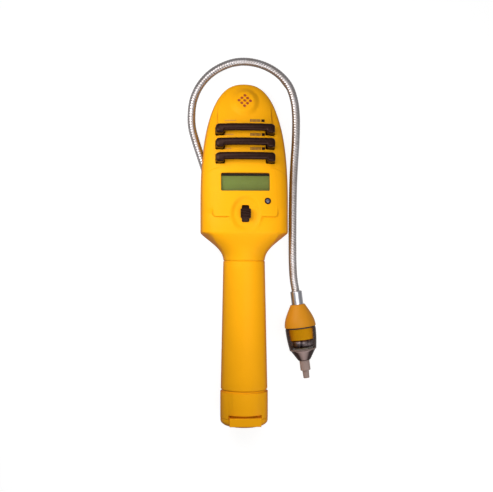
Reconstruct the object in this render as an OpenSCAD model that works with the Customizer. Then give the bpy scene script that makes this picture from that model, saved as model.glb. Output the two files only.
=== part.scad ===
// Portable gas detector with a flashlight-style battery handle and a gooseneck probe.
// It lies on its back: X across, Y along the body with the head at +Y, Z up out of the face.
// The origin is on the flat back of the head.

/* [Head] */
// Full width of the head
head_w = 80.6; // [76:0.2:82]
// Distance from the origin to the tip of the head
tip_y = 88.4; // [84:0.2:96]
// Distance from the origin down to the crease under the face
crease_drop = 49; // [46:0.5:54]
// Length of the flared neck below the crease
neck_len = 25.5; // [20:0.5:32]
// Height of the face above the handle axis, at the crease
face_h = 26; // [24:0.5:30]
// Radius of the face's long curve back toward the tip
face_sweep_r = 520; // [400:10:900]
// Wall of the two head shells
shell_wall = 2.4; // [1.8:0.1:3]
// Squareness of the head's cross-section, 2 being an ellipse
section_n = 3.2; // [2.4:0.1:4]
// Depth of the flat cut on the head's back
back_flat = 0.8; // [0.4:0.1:1.4]

/* [Sound grille] */
// Distance of the grille from the origin
grille_y = 71; // [68:0.5:73]
// Radius of the round swell that carries the grille
swell_r = 13.5; // [11:0.5:15]
// Height of that swell
swell_h = 1.6; // [0.8:0.1:2.4]
// Radius of one grille hole
grille_hole_r = 1.2; // [0.7:0.05:1.3]
// Spacing of the grille holes
grille_pitch = 3.7; // [3:0.1:4]
// Turn of the square grid of holes
grille_turn = 42; // [0:1:90]
// Radius of the sounder
sounder_r = 9; // [7:0.5:10]
// Thickness of the sounder
sounder_t = 4.5; // [3:0.5:6]

/* [Bar keys] */
// Distance of the middle key from the origin
keys_y = 32; // [31:0.1:34]
// Distance from one key to the next
key_pitch = 13; // [12:0.5:14]
// Length of a key
key_len = 53.4; // [50:0.2:56]
// Height of a key's crossbar along the face
key_bar_h = 6.8; // [5:0.2:7]
// Thickness of the crossbar
key_bar_t = 4.6; // [3.6:0.2:6]
// Clear gap between the crossbar and the face
key_gap = 2.6; // [2.2:0.1:4]
// Length of each end foot along the key
key_foot_len = 8; // [6:0.5:10]
// How far a foot reaches below the crossbar
key_foot_drop = 1.8; // [1.2:0.2:2.8]
// Travel of a key
key_travel = 1.2; // [0.6:0.1:1.5]

/* [Display] */
// Distance of the display from the origin, along the face
lcd_y = -3; // [-5:0.5:0]
// Width of the display opening
lcd_w = 44; // [38:0.5:45]
// Height of the display opening
lcd_h = 16.2; // [12:0.2:18]
// Depth from the face to the clear window
lcd_recess = 3; // [2.6:0.1:4]
// Thickness of the clear window
lcd_window_t = 1.5; // [1:0.1:2]
// Ledge of the window around its opening
lcd_ledge = 2; // [1.5:0.1:3]
// Thickness of the display module
lcd_module_t = 6; // [4:0.5:8]

/* [Thumb slide] */
// Distance of the slide from the origin
slide_y = -31.8; // [-33:0.2:-30]
// Width of the slot
slot_w = 6.8; // [6:0.2:8]
// Length of the slot
slot_len = 15.4; // [14:0.2:16]
// Width of the knob
knob_w = 9.2; // [8:0.2:11]
// Length of the knob along the slot
knob_len = 8.8; // [7:0.2:9]
// Height of the knob
knob_h = 3.6; // [2.5:0.1:5]
// Travel of the slide to either side
slide_travel = 3; // [2:0.1:3]
// Half width of the oval dish around the slot
dish_half_w = 13.6; // [12:0.2:15]
// Half length of the oval dish
dish_half_len = 16.4; // [15:0.2:17]
// Depth of the dish
dish_depth = 2; // [1:0.1:2.6]

/* [Light sensor] */
// Distance of the sensor to the right of the middle
eye_x = 20; // [18:0.5:21]
// Distance of the sensor from the origin
eye_y = -20.5; // [-22:0.5:-19]
// Radius of the sensor's lens
eye_r = 2.3; // [1.8:0.1:2.8]

/* [Handle and battery] */
// Radius of the neck and of the handle's upper end
neck_r = 19.2; // [18.9:0.1:20]
// Radius of the handle's lower end
handle_end_r = 21.6; // [21.2:0.1:22.4]
// Radius of the end collar, which the part rests on
collar_r = 22; // [21.6:0.1:23]
// Length of the end collar
collar_len = 25.5; // [20:0.5:32]
// Radius of one battery cell
cell_r = 17.1; // [16.4:0.1:17.2]
// Length of one battery cell with its button
cell_len = 61.5; // [58:0.5:64]
// Distance from the neck seam down to the battery bulkhead
bulkhead_drop = 8; // [6:0.5:12]
// Thickness of the bulkhead
bulkhead_t = 3; // [2:0.2:4]
// Room for the contact spring under the cells
spring_room = 8; // [7:0.5:11]
// Length of the spigot that enters the neck
spigot_len = 12; // [8:0.5:16]

/* [Battery door] */
// Thickness of the door
door_t = 8; // [7:0.2:9]
// Depth of the door's domed edge
door_dome = 5.5; // [4:0.5:6]
// Width of that edge
door_dome_w = 10.5; // [8:0.5:12]
// Width of the pull tab
tab_w = 28.8; // [26:0.2:32]
// Length of the pull tab along the handle
tab_len = 6.8; // [6:0.2:9]
// Distance of the tab from the door's end
tab_inset = 3.4; // [2.6:0.1:4]
// Finger gap above the tab
tab_gap = 1.9; // [1:0.1:3]
// How far the tab stands proud of the collar
tab_proud = 0.8; // [0.4:0.1:2]
// Radius of the hinge pin
hinge_pin_r = 1; // [0.8:0.1:1.2]
// Radius of the hinge knuckles
knuckle_r = 2.2; // [1.9:0.1:2.4]
// Wire radius of the contact spring
spring_wire_r = 0.5; // [0.35:0.05:0.6]
// Turns of the contact spring
spring_turns = 4; // [3:1:5]

/* [Gooseneck] */
// Outer radius of the gooseneck
goose_r = 3.75; // [3.4:0.05:3.9]
// Depth of the groove between two ribs
rib_depth = 0.35; // [0.2:0.05:0.5]
// Length of one rib
rib_pitch = 2.4; // [2.2:0.1:4]
// Bore of the gooseneck, as a radius
goose_bore_r = 2; // [1.7:0.05:2.2]
// Radius of the sensor lead inside it
lead_r = 1.2; // [0.8:0.05:1.3]
// Clearance of the bending places
bend_gap = 0.45; // [0.4:0.05:0.6]
// Place of the upper bend along the gooseneck, from its root
swing_at = 226; // [218:1:234]
// Place of the middle bend
lift_at = 266; // [256:1:276]
// Place of the lower bend
wrist_at = 374; // [360:1:380]

/* [Probe] */
// Lean of the probe away from the handle
probe_lean = 7; // [6:0.5:9.5]
// Length of the yellow cap
cap_len = 20.8; // [18:0.2:24]
// Largest radius of the probe
probe_r = 14.5; // [13.8:0.1:15.5]
// Radius of the cap where the gooseneck enters
cap_top_r = 6.8; // [6.6:0.1:8]
// Length of the clear cover
cover_len = 19; // [16:0.5:22]
// Wall of the clear cover
cover_wall = 1.4; // [1:0.1:1.8]
// Radius of the clear cover at its lower rim
cover_end_r = 12.6; // [12.3:0.1:13]
// Length of the yellow band inside the cover
band_len = 10.4; // [8:0.2:12]
// Radius of the sensor can
can_r = 10.6; // [9.6:0.1:10.8]
// Length of the dark taper that holds the nozzle
taper_len = 6; // [4:0.5:8]
// Radius of the nozzle's widest step
nozzle_r = 5.5; // [5:0.1:6]
// Length of that step below the taper
nozzle_lip = 3.4; // [2:0.2:5]
// Length of the middle step
nozzle_step = 9; // [6:0.5:10]
// Length of the tip
nozzle_tip = 6.8; // [4:0.2:9]
// Bore of the nozzle, as a radius
inlet_r = 1.6; // [1.2:0.1:2]

/* [Board and screws] */
// Height of the circuit board above the rest surface
board_z = 20; // [18.5:0.25:20.5]
// Thickness of the board
board_t = 1.6; // [1:0.1:2]
// Half width of the board
board_half_w = 25; // [24.5:0.5:26]
// Height of a key switch
switch_h = 4.3; // [3.5:0.1:5]
// Radius of a housing screw's shank
screw_r = 1.5; // [1.25:0.05:1.75]
// Radius of a housing screw's head
screw_head_r = 2.8; // [2.5:0.1:3]
// Distance of the housing screws from the middle, below
screw_x_low = 27; // [25.5:0.5:28]
// Distance of the housing screws from the middle, above
screw_x_high = 19; // [18:0.5:20]

/* [Fits] */
// Clearance around pieces that slide
slide_fit = 0.3; // [0.2:0.05:0.4]
// Clearance between pieces that are seated
seat_fit = 0.1; // [0.05:0.05:0.2]
// Running clearance of the hinge pin
pin_fit = 0.05; // [0.02:0.01:0.08]

/* [Hidden] */
$fn = 64;

YELLOW = [0.98, 0.72, 0.06];
BLACK = [0.1, 0.09, 0.09];
STEEL = [0.72, 0.72, 0.74];
BRASS = [0.8, 0.66, 0.3];
GREEN = [0.1, 0.42, 0.24];

// Heights and places along the body
axis_z = collar_r;
crease_y = -crease_drop;
seam_y = crease_y - neck_len;
widest_y = -26;
outline_n = 2.5;
end_cap = 0.35;

// Places down the handle, measured from the origin toward the battery door
seam_d = -seam_y;
bulkhead_d = seam_d + bulkhead_drop;
contact_t = 2.2;
cells_d = bulkhead_d + bulkhead_t + contact_t + seat_fit;
cells_end_d = cells_d + 2 * cell_len;
rim_d = cells_end_d + spring_room;
collar_d = rim_d - collar_len;
bore_r = cell_r + slide_fit;
spigot_r = neck_r - shell_wall - seat_fit;
spigot_bore_r = spigot_r - 2;
collar_spigot_d = collar_d - 7;
collar_spigot_r = bore_r + 1.9;
seam_chamfer = 0.9;

// Door hinge at the back of the collar
hinge_z = axis_z - collar_r + knuckle_r + slide_fit;
hinge_d = rim_d + knuckle_r + slide_fit;
door_d = rim_d + slide_fit;
door_end_d = door_d + door_t;
door_wall = 2.4;
door_cup_r = bore_r - 2;
knuckle_len = 7;
tab_end_d = door_end_d - tab_inset;
tab_top_d = tab_end_d - tab_len;
tab_deep = 2.8;
tab_seat_z = axis_z + collar_r - tab_deep;
tab_front_z = axis_z + collar_r + tab_proud;
tab_back_z = axis_z + collar_r / 2;

// The gooseneck's route: from its root in the rear shell, over the head and down to the probe.
// Each stop has its distance across as a share of the head's half width, then its Y and Z
root_lean = 18;
probe_out = 9.8;
probe_top = [head_w / 2 + probe_out, -115.5, 20];
neck_in_cap = 7;
probe_mouth = probe_top + neck_in_cap * [sin(probe_lean), -cos(probe_lean), 0];
route_plan = [
    [-0.744, -8, 11.5], [-0.868, 7.5, 11.5], [-0.993, 22.5, 12], [-1.104, 36, 13], [-1.191, 49, 15],
    [-1.203, 62, 17], [-1.154, 75, 18.5], [-1.017, 87, 19.5], [-0.794, 97.5, 20], [-0.509, 105, 20],
    [-0.174, 109.5, 20], [0.181, 109.5, 20], [0.526, 105.5, 20], [0.821, 98.1, 20],
    [1.045, 87.7, 20], [1.161, 74.7, 20], [1.203, 61, 20], [1.206, 47, 20], [1.191, 32, 20],
    [1.166, 17, 20], [1.146, 2, 20], [1.134, -14, 20], [1.127, -30, 20], [1.124, -46, 20],
    [1.124, -62, 20], [1.129, -78, 20], [1.152, -92, 20], [1.207, -105, 20]
];
route = concat([for (p = route_plan) [p.x * head_w / 2, p.y, p.z]], [probe_top, probe_mouth]);
goose_sides = 8;
route_steps = 8;
ferrule_r = goose_r + 1.4;
ferrule_len = 16;
socket_r = ferrule_r + 2.6;

// Places down the probe, measured from the top of its cap
cover_s = cap_len + 1.2;
cover_end_s = cover_s + cover_len;
taper_s = cover_end_s + 1.6;

// Key switches stand under the feet of the keys
switch_w = 6;
key_leg_x = key_len / 2 - key_foot_len / 2;
key_foot_h = key_bar_h + key_foot_drop;
leg_clear = key_travel + slide_fit;
board_top = board_z + board_t;
board_low_y = -33;
board_high_y = 48;
tongue_half_w = 15;
screw_low_y = crease_y + 10;
screw_high_y = 55;
boss_r = screw_r + 2.6;
pillar_x = 12;
pillar_low_y = -27;
pillar_high_y = 44;
pillar_r = 3;
board_screw_r = 1;
board_screw_len = 7;
board_screw_head = 1.4;
board_screw_fit = 0.25;
pillar_hole = board_screw_len + 1;

// Head surface

function share(v, a, b) = min(1, max(0, (v - a) / (b - a)));
function tip_share(y) = share(y, widest_y, tip_y);
function flare(y) = pow(1 - pow(share(-y, crease_drop, crease_drop + neck_len), 1.3), 2.2);
function closing(y, power) = pow(1 - pow(tip_share(y), power), 1 / outline_n);
function half_w(y) = neck_r + (head_w / 2 * closing(y, outline_n) - neck_r) * flare(y);
function sweep_drop(y) = pow(max(0, y - crease_y), 2) / (2 * face_sweep_r);
function front_h(y) = neck_r + ((face_h - sweep_drop(y)) * closing(y, 6) - neck_r) * flare(y);
function back_h(y) = neck_r + ((axis_z + back_flat) * closing(y, 5) - neck_r) * flare(y);
function squareness(y) = 2 + (section_n - 2) * flare(y) * (1 - pow(tip_share(y), 4));
function face_z(y) = axis_z + front_h(y);
function face_tilt(y) = atan(front_h(y - 0.5) - front_h(y + 0.5));
function skin_z(x, y) =
    axis_z + front_h(y) * pow(1 - pow(abs(x) / half_w(y), squareness(y)), 1 / squareness(y));

// Reach of a superellipse of half width w and height h in the direction a
function reach(a, w, h, n) = pow(pow(abs(cos(a)) / w, n) + pow(abs(sin(a)) / h, n), -1 / n);
function dish(x, y) =
    dish_depth * max(0, 1 - pow(x / dish_half_w, 2) - pow((y - slide_y) / dish_half_len, 2));
function swell(x, y) = swell_h * max(0, 1 - (pow(x, 2) + pow(y - grille_y, 2)) / pow(swell_r, 2));

// Half ring of the front or back surface at y. For the inside, the wall comes off it all round:
// off its width and height, and off its length where the tip and the flare close in
function inside_y(y, wall) = y > widest_y ? y + wall : y - wall;
function front_ring(y, cols, wall) =
    let (e = inside_y(y, wall), w = half_w(e) - wall, h = front_h(e) - wall, n = squareness(y))
    [for (i = [0:cols]) let (a = 180 * i / cols, q = reach(a, w, h, n), x = q * cos(a))
        [x, y, axis_z + q * sin(a) + swell(x, y) - dish(x, y)]];
function back_ring(y, cols, wall) =
    let (e = inside_y(y, wall), w = half_w(e) - wall, h = back_h(e) - wall, n = squareness(y))
    [for (i = [0:cols]) let (a = 180 * i / cols, q = reach(a, w, h, n))
        [-q * cos(a), y, axis_z - q * sin(a)]];
// The inside rings reach past the parting plane by a margin
margin = 1;
function deepen(ring, dz) = concat(
    [[ring[0].x, ring[0].y, ring[0].z - dz]], ring,
    [[ring[len(ring) - 1].x, ring[0].y, ring[0].z - dz]]);

// Stations along the head: neck, face and tip
face_step = 3.8;
dome_y = 58;
function neck_stations(steps) = [for (i = [0:steps - 1]) seam_y + neck_len * i / steps];
function face_stations(step) = [for (y = [crease_y:step:dome_y - step / 2]) y];
function tip_stations(steps, end) = [for (i = [0:steps]) dome_y + (end - dome_y) * sin(90 * i / steps)];
fine_stations = concat(neck_stations(8), face_stations(face_step), tip_stations(9, tip_y - end_cap));
coarse_stations = concat(neck_stations(5), face_stations(2 * face_step), tip_stations(6, tip_y - end_cap));
inner_stations = concat([seam_y - margin], neck_stations(5), face_stations(2 * face_step),
    tip_stations(5, tip_y - end_cap - 2 * shell_wall));

// Closed skin over a row of rings that all have the same number of points
module loft(rings) {
    m = len(rings[0]);
    k = len(rings);
    polyhedron(
        points = [for (r = rings) each r],
        faces = concat(
            [for (i = [0:k - 2]) for (j = [0:m - 1]) [i * m + j, i * m + (j + 1) % m, (i + 1) * m + j]],
            [for (i = [0:k - 2]) for (j = [0:m - 1])
                [i * m + (j + 1) % m, (i + 1) * m + (j + 1) % m, (i + 1) * m + j]],
            [[for (j = [m - 1:-1:0]) j], [for (j = [0:m - 1]) (k - 1) * m + j]]));
}

// Frame of a point on the middle of the face, with its Z out of the face
module on_face(y) {
    translate([0, y, face_z(y)]) rotate([-face_tilt(y), 0, 0]) children();
}

// Frame of the handle axis, with Z running down the handle from the origin
module down_handle(d = 0) {
    translate([0, -d, axis_z]) rotate([90, 0, 0]) children();
}

// Frame of the probe, with Z running down from the top of its cap
module down_probe(s = 0) {
    translate(probe_top) rotate([90, 0, probe_lean]) translate([0, 0, s]) children();
}

// Frame of the gooseneck's root, with Z along it
module along_root() {
    translate(route[0]) rotate([-90, 0, root_lean]) children();
}

// Outline of a rectangle with round corners
function rounded(w, h, r, steps = 6) = [
    for (c = [[1, 1, 0], [-1, 1, 90], [-1, -1, 180], [1, -1, 270]]) for (i = [0:steps])
        let (a = c[2] + 90 * i / steps) [c[0] * (w / 2 - r) + r * cos(a), c[1] * (h / 2 - r) + r * sin(a)]];

module block(w, h, t, r) {
    linear_extrude(t) polygon(rounded(w, h, r));
}

module turned(profile) {
    rotate_extrude() polygon(profile);
}

module at_screws() {
    for (side = [-1, 1]) {
        translate([side * screw_x_low, screw_low_y, 0]) children();
        translate([side * screw_x_high, screw_high_y, 0]) children();
    }
}

module at_pillars() {
    for (side = [-1, 1]) for (y = [pillar_low_y, pillar_high_y]) {
        translate([side * pillar_x, y, 0]) children();
    }
}

// Head shells

key_ys = [keys_y + key_pitch, keys_y, keys_y - key_pitch];
lens_w = lcd_w + 2 * lcd_ledge;
lens_h = lcd_h + 2 * lcd_ledge;
frame_rim = 2;
sounder_drop = swell_h - 2 * shell_wall;

module front_outer() {
    loft([for (y = fine_stations) front_ring(y, 34, 0)]);
}

module front_inner() {
    loft([for (y = inner_stations) deepen(front_ring(y, 20, shell_wall), margin)]);
}

// What stands inside the front shell: screw bosses, the window frame and the sounder's ring
module front_inside() {
    at_screws() translate([0, 0, axis_z]) cylinder(r = boss_r, h = face_h);
    on_face(lcd_y) translate([0, 0, -lcd_recess - lcd_window_t]) {
        block(lens_w + 2 * frame_rim, lens_h + 2 * frame_rim, lcd_recess + lcd_window_t, 2);
    }
    on_face(grille_y) translate([0, 0, sounder_drop - sounder_t]) difference() {
        cylinder(r = sounder_r + 1.6, h = sounder_t + 2 * shell_wall);
        translate([0, 0, -margin]) cylinder(r = sounder_r + seat_fit, h = sounder_t + margin);
        cylinder(r = sounder_r - 1.5, h = sounder_t + 2 * shell_wall);
    }
}

module key_leg_holes() {
    for (y = key_ys) on_face(y) for (side = [-1, 1]) {
        translate([side * key_leg_x, -key_foot_drop / 2, -face_h / 2]) {
            linear_extrude(face_h / 2 + key_gap) {
                square([key_foot_len + 2 * slide_fit, key_foot_h + 2 * slide_fit], center = true);
            }
        }
    }
}

module front_shell() {
    color(YELLOW) difference() {
        front_outer();
        difference() {
            front_inner();
            front_inside();
        }
        on_face(lcd_y) translate([0, 0, -face_h / 2]) block(lcd_w, lcd_h, face_h, 1.2);
        on_face(lcd_y) translate([0, 0, -lcd_recess - face_h / 2]) {
            block(lens_w + 2 * seat_fit, lens_h + 2 * seat_fit, face_h / 2, 1.2);
        }
        key_leg_holes();
        on_face(slide_y) translate([0, 0, -face_h / 2]) block(slot_w, slot_len, face_h, 1);
        translate([eye_x, eye_y, axis_z]) cylinder(r = eye_r + seat_fit, h = 2 * face_h);
        on_face(grille_y) rotate([0, 0, grille_turn]) for (i = [-1:1]) for (j = [-1:1]) {
            translate([i * grille_pitch, j * grille_pitch, sounder_drop]) {
                cylinder(r = grille_hole_r, h = face_h);
            }
        }
        at_screws() translate([0, 0, axis_z - margin]) cylinder(r = screw_r - 0.3, h = 10 + margin);
    }
}

module rear_outer() {
    loft([for (y = coarse_stations) back_ring(y, 24, 0)]);
}

module rear_inner() {
    loft([for (y = inner_stations) deepen(back_ring(y, 16, shell_wall), -margin)]);
}

// What stands inside the rear shell: screw bosses, board pillars and the gooseneck's socket
module rear_inside() {
    at_screws() cylinder(r = boss_r + 1, h = axis_z);
    at_pillars() cylinder(r = pillar_r, h = board_z);
    along_root() translate([0, 0, -5]) cylinder(r = socket_r, h = head_w);
}

screw_seat_z = 8;

module rear_shell() {
    color(YELLOW) difference() {
        rear_outer();
        difference() {
            rear_inner();
            rear_inside();
        }
        translate([-head_w, seam_y - margin, -2 * axis_z]) {
            cube([2 * head_w, 2 * tip_y - seam_y, 2 * axis_z]);
        }
        along_root() translate([0, 0, -slide_fit]) cylinder(r = ferrule_r + seat_fit, h = head_w);
        along_root() translate([0, 0, -ferrule_len]) cylinder(r = goose_bore_r, h = head_w);
        at_screws() translate([0, 0, -margin]) {
            cylinder(r = screw_r + seat_fit, h = axis_z + 2 * margin);
            cylinder(r = screw_head_r + seat_fit, h = screw_seat_z + margin);
        }
        at_pillars() translate([0, 0, board_z - pillar_hole])
            cylinder(r = board_screw_r - 0.2, h = pillar_hole + margin);
    }
}

module housing_screws() {
    color(STEEL) at_screws() {
        translate([0, 0, screw_seat_z - 2.2]) difference() {
            cylinder(r = screw_head_r, h = 2.2);
            translate([0, 0, -margin]) cylinder(r = 1.2, h = margin + 1.2, $fn = 6);
        }
        translate([0, 0, screw_seat_z - 0.01]) cylinder(r = screw_r, h = axis_z - screw_seat_z);
        translate([0, 0, axis_z - 0.02]) cylinder(r = screw_r - 0.35, h = 9);
    }
}

// Display, board and switches

module lcd_window() {
    color([0.8, 0.86, 0.82, 0.35]) on_face(lcd_y) {
        translate([0, 0, -lcd_recess - lcd_window_t]) block(lens_w, lens_h, lcd_window_t, 1.2);
    }
}

lcd_module_d = lcd_recess + lcd_window_t + seat_fit;
lcd_post_x = lens_w / 2 - 3;

module lcd_module() {
    color([0.46, 0.55, 0.24]) {
        on_face(lcd_y) translate([0, 0, -lcd_module_d - lcd_module_t]) {
            block(lens_w, lens_h, lcd_module_t, 1);
        }
        for (side = [-1, 1]) for (end = [-1, 1]) {
            translate([side * lcd_post_x, lcd_y - 2 + end * (lcd_h / 2 - 1), board_top]) {
                cylinder(r = 1.5, h = face_z(lcd_y) - lcd_module_d - lcd_module_t / 2 - board_top);
            }
        }
    }
}

board_outline = [
    [-tongue_half_w, screw_low_y - 7], [tongue_half_w, screw_low_y - 7], [tongue_half_w, board_low_y],
    [board_half_w, board_low_y + 5], [board_half_w, board_high_y - 4], [tongue_half_w, board_high_y],
    [-tongue_half_w, board_high_y], [-board_half_w, board_high_y - 4], [-board_half_w, board_low_y + 5],
    [-tongue_half_w, board_low_y]
];

module main_board() {
    color(GREEN) translate([0, 0, board_z]) difference() {
        union() {
            linear_extrude(board_t) polygon(board_outline);
            translate([-8, 10, 0]) cube([12, 12, board_t + 1.4]);
            translate([6, 26, 0]) cube([7, 9, board_t + 1.2]);
        }
        at_pillars() translate([0, 0, -margin]) {
            cylinder(r = board_screw_r + seat_fit, h = board_t + 2 * margin);
        }
    }
}

module board_screws() {
    color(STEEL) at_pillars() {
        translate([0, 0, board_top]) cylinder(r = 2 * board_screw_r, h = board_screw_head);
        translate([0, 0, board_top - board_screw_len])
            cylinder(r = board_screw_r - board_screw_fit, h = board_screw_len + 0.01);
    }
}

// The legs of a key end above their switches, by the key's travel
function leg_len(y) = (face_z(y) - board_top - switch_h - leg_clear) / cos(face_tilt(y));
function switch_y(y) = y - key_foot_drop / 2 - (leg_len(y) + leg_clear) * sin(face_tilt(y));

module key_switches() {
    color(BLACK) for (y = key_ys) for (side = [-1, 1]) {
        translate([side * key_leg_x, switch_y(y), board_top]) {
            translate([-switch_w / 2, -switch_w / 2, 0]) cube([switch_w, switch_w, switch_h - 0.8]);
            cylinder(r = 1.7, h = switch_h);
        }
    }
}

// Bar key: a crossbar on two end feet, with legs that go through the front shell
module bar_key(y) {
    lug = 0.9;
    on_face(y) {
        translate([-key_len / 2, 0, key_gap + key_bar_t / 2]) rotate([90, 0, 90]) {
            block(key_bar_h, key_bar_t, key_len, 1.6);
        }
        for (side = [-1, 1]) translate([side * key_leg_x, -key_foot_drop / 2, -leg_len(y)]) {
            block(key_foot_len, key_foot_h, leg_len(y) + key_gap + key_bar_t / 2, 1);
            translate([-side * (key_foot_len / 2 + lug / 2 - 0.5), 0, 0]) {
                block(lug + 1, key_bar_h - 2, 1.6, 0.3);
            }
        }
    }
}

module upper_bar_key() {
    color(BLACK) bar_key(key_ys[0]);
}

module middle_bar_key() {
    color(BLACK) bar_key(key_ys[1]);
}

module lower_bar_key() {
    color(BLACK) bar_key(key_ys[2]);
}

// Thumb slide: a ribbed knob on a stem, a carriage under the shell and a finger into the switch

carriage_d = dish_depth + shell_wall + slide_fit + 0.5;
carriage_t = 1.6;
finger_w = 2.6;
switch_can_h = 6;
switch_can_w = 9;
switch_can_len = 20;
finger_in = 2.2;
finger_z = board_top + switch_can_h - finger_in;

module thumb_slide() {
    stem_w = slot_w - 2 * slide_fit - 0.8;
    stem_len = slot_len - 2 * slide_travel - 2 * slide_fit - 1.6;
    color(BLACK) {
        on_face(slide_y) {
            translate([0, 0, -dish_depth + 2 * slide_fit]) difference() {
                block(knob_w, knob_len, knob_h, 1.2);
                for (i = [-1:1]) translate([-knob_w, i * knob_len / 4, knob_h]) {
                    rotate([0, 90, 0]) cylinder(r = 0.6, h = 2 * knob_w);
                }
            }
            translate([0, 0, -carriage_d - carriage_t]) {
                block(stem_w, stem_len, carriage_d + carriage_t - dish_depth + 3 * slide_fit, 0.8);
                block(slot_w + 6, slot_len + 2 * slide_travel + 2, carriage_t, 1);
            }
        }
        translate([-finger_w / 2, slide_y - finger_w / 2, finger_z]) {
            cube([finger_w, finger_w, face_z(slide_y) - carriage_d - carriage_t / 2 - finger_z]);
        }
    }
}

module slide_switch() {
    color(STEEL) translate([0, slide_y, board_top]) difference() {
        block(switch_can_w, switch_can_len, switch_can_h, 0.6);
        translate([0, 0, switch_can_h - finger_in - 1]) {
            block(finger_w + 2 * slide_fit, finger_w + 2 * slide_travel + 4 * slide_fit, finger_in + 2, 0.4);
        }
    }
}

// Light sensor: a clear lens in the face on a stem down to the board
module light_sensor() {
    lens_dome = 0.8;
    edge = skin_z(eye_x + eye_r, eye_y) - board_top;
    color([0.25, 0.25, 0.4]) translate([eye_x, eye_y, board_top]) turned([
        [0, 0], [eye_r, 0], [eye_r, edge], [eye_r * 0.7, edge + lens_dome * 0.7], [0, edge + lens_dome]]);
}

module sounder() {
    color(BLACK) on_face(grille_y) translate([0, 0, sounder_drop - sounder_t]) difference() {
        cylinder(r = sounder_r, h = sounder_t - 0.5);
        translate([0, 0, sounder_t - 1.5]) cylinder(r = 2, h = 2);
    }
}

module grille_cloth() {
    color([0.5, 0.16, 0.08]) on_face(grille_y) translate([0, 0, sounder_drop - 0.5]) {
        cylinder(r = sounder_r, h = 0.4);
    }
}

// Handle, cells and battery door

module handle_tube() {
    color(YELLOW) down_handle() turned([
        [spigot_bore_r, seam_d - spigot_len], [spigot_r, seam_d - spigot_len], [spigot_r, seam_d],
        [neck_r - seam_chamfer, seam_d], [neck_r, seam_d + seam_chamfer],
        [handle_end_r, collar_d - seam_chamfer], [handle_end_r - seam_chamfer, collar_d],
        [collar_spigot_r + seat_fit, collar_d], [collar_spigot_r + seat_fit, collar_spigot_d - seat_fit],
        [bore_r, collar_spigot_d - seat_fit], [bore_r, bulkhead_d + bulkhead_t],
        [4, bulkhead_d + bulkhead_t], [4, bulkhead_d], [spigot_bore_r, bulkhead_d]]);
}

module knuckle(x, len) {
    translate([x - len / 2, -hinge_d, hinge_z]) rotate([0, 90, 0]) cylinder(r = knuckle_r, h = len);
}

module hinge_bore() {
    translate([-collar_r, -hinge_d, hinge_z]) rotate([0, 90, 0]) {
        cylinder(r = hinge_pin_r + pin_fit, h = 2 * collar_r);
    }
}

side_knuckle_x = knuckle_len + slide_fit;

module end_collar() {
    color(YELLOW) difference() {
        union() {
            down_handle() turned([
                [bore_r, collar_spigot_d], [collar_spigot_r, collar_spigot_d],
                [collar_spigot_r, collar_d + seat_fit], [collar_r - seam_chamfer, collar_d + seat_fit],
                [collar_r, collar_d + seat_fit + seam_chamfer], [collar_r, rim_d], [bore_r, rim_d]]);
            for (side = [-1, 1]) {
                knuckle(side * side_knuckle_x, knuckle_len);
                translate([side * side_knuckle_x - knuckle_len / 2, -hinge_d, hinge_z - knuckle_r]) {
                    cube([knuckle_len, hinge_d - rim_d + 0.2, 2 * knuckle_r]);
                }
            }
        }
        hinge_bore();
        translate([-tab_w / 2 - slide_fit, -rim_d - margin, tab_seat_z]) {
            cube([tab_w + 2 * slide_fit, margin + rim_d - tab_top_d + tab_gap, collar_r]);
        }
    }
}

function door_edge(steps) = [for (i = [0:steps]) let (a = 90 * i / steps)
    [collar_r - seat_fit - door_dome_w * (1 - cos(a)), door_end_d - door_dome * (1 - sin(a))]];

module battery_door() {
    color(YELLOW) difference() {
        union() {
            difference() {
                union() {
                    down_handle() turned(concat([[0, door_d], [collar_r - seat_fit, door_d]], door_edge(8),
                        [[0, door_end_d]]));
                    translate([0, -(tab_end_d + door_d) / 2, tab_back_z]) {
                        block(tab_w, tab_end_d - door_d, tab_front_z - tab_back_z, 1);
                    }
                }
                translate([-collar_r, -door_end_d - margin, 0]) {
                    cube([2 * collar_r, door_t + 2 * margin, hinge_z + knuckle_r + slide_fit]);
                }
                down_handle(door_d - margin) cylinder(r = door_cup_r, h = margin + door_t - door_wall);
            }
            translate([0, -tab_end_d + tab_len / 2, tab_seat_z + slide_fit]) {
                block(tab_w, tab_len, tab_front_z - tab_seat_z - slide_fit, 1);
            }
            knuckle(0, knuckle_len);
            translate([-knuckle_len / 2, -hinge_d - knuckle_r, hinge_z]) {
                cube([knuckle_len, 2 * knuckle_r, knuckle_r + slide_fit + door_wall / 2]);
            }
        }
        hinge_bore();
    }
}

module door_pin() {
    color(STEEL) translate([-side_knuckle_x - knuckle_len / 2, -hinge_d, hinge_z]) rotate([0, 90, 0]) {
        cylinder(r = hinge_pin_r, h = 2 * side_knuckle_x + knuckle_len);
    }
}

door_contact_t = 0.6;
door_contact_d = door_end_d - door_wall - door_contact_t;

module door_contact() {
    color(BRASS) down_handle(door_contact_d) cylinder(r = door_cup_r - slide_fit, h = door_contact_t);
}

// Conical contact spring, widest on the door
spring_low_d = door_contact_d - spring_wire_r - seat_fit / 2;
spring_high_d = cells_end_d + spring_wire_r + slide_fit;
spring_r = 9;
spring_top_r = 4;
spring_steps = 8 * spring_turns;
function spring_point(i) = let (t = i / spring_steps, r = spring_r + (spring_top_r - spring_r) * t)
    [r * cos(360 * spring_turns * t), r * sin(360 * spring_turns * t),
        spring_low_d + (spring_high_d - spring_low_d) * t];
spring_points = [for (i = [0:spring_steps]) spring_point(i)];
spring_gap = min([for (i = [0:spring_steps - 6]) for (j = [i + 6:spring_steps])
    norm(spring_points[i] - spring_points[j])]) - 2 * spring_wire_r;
echo(spring_least_gap = spring_gap);

function unit(v) = v / norm(v);
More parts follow.
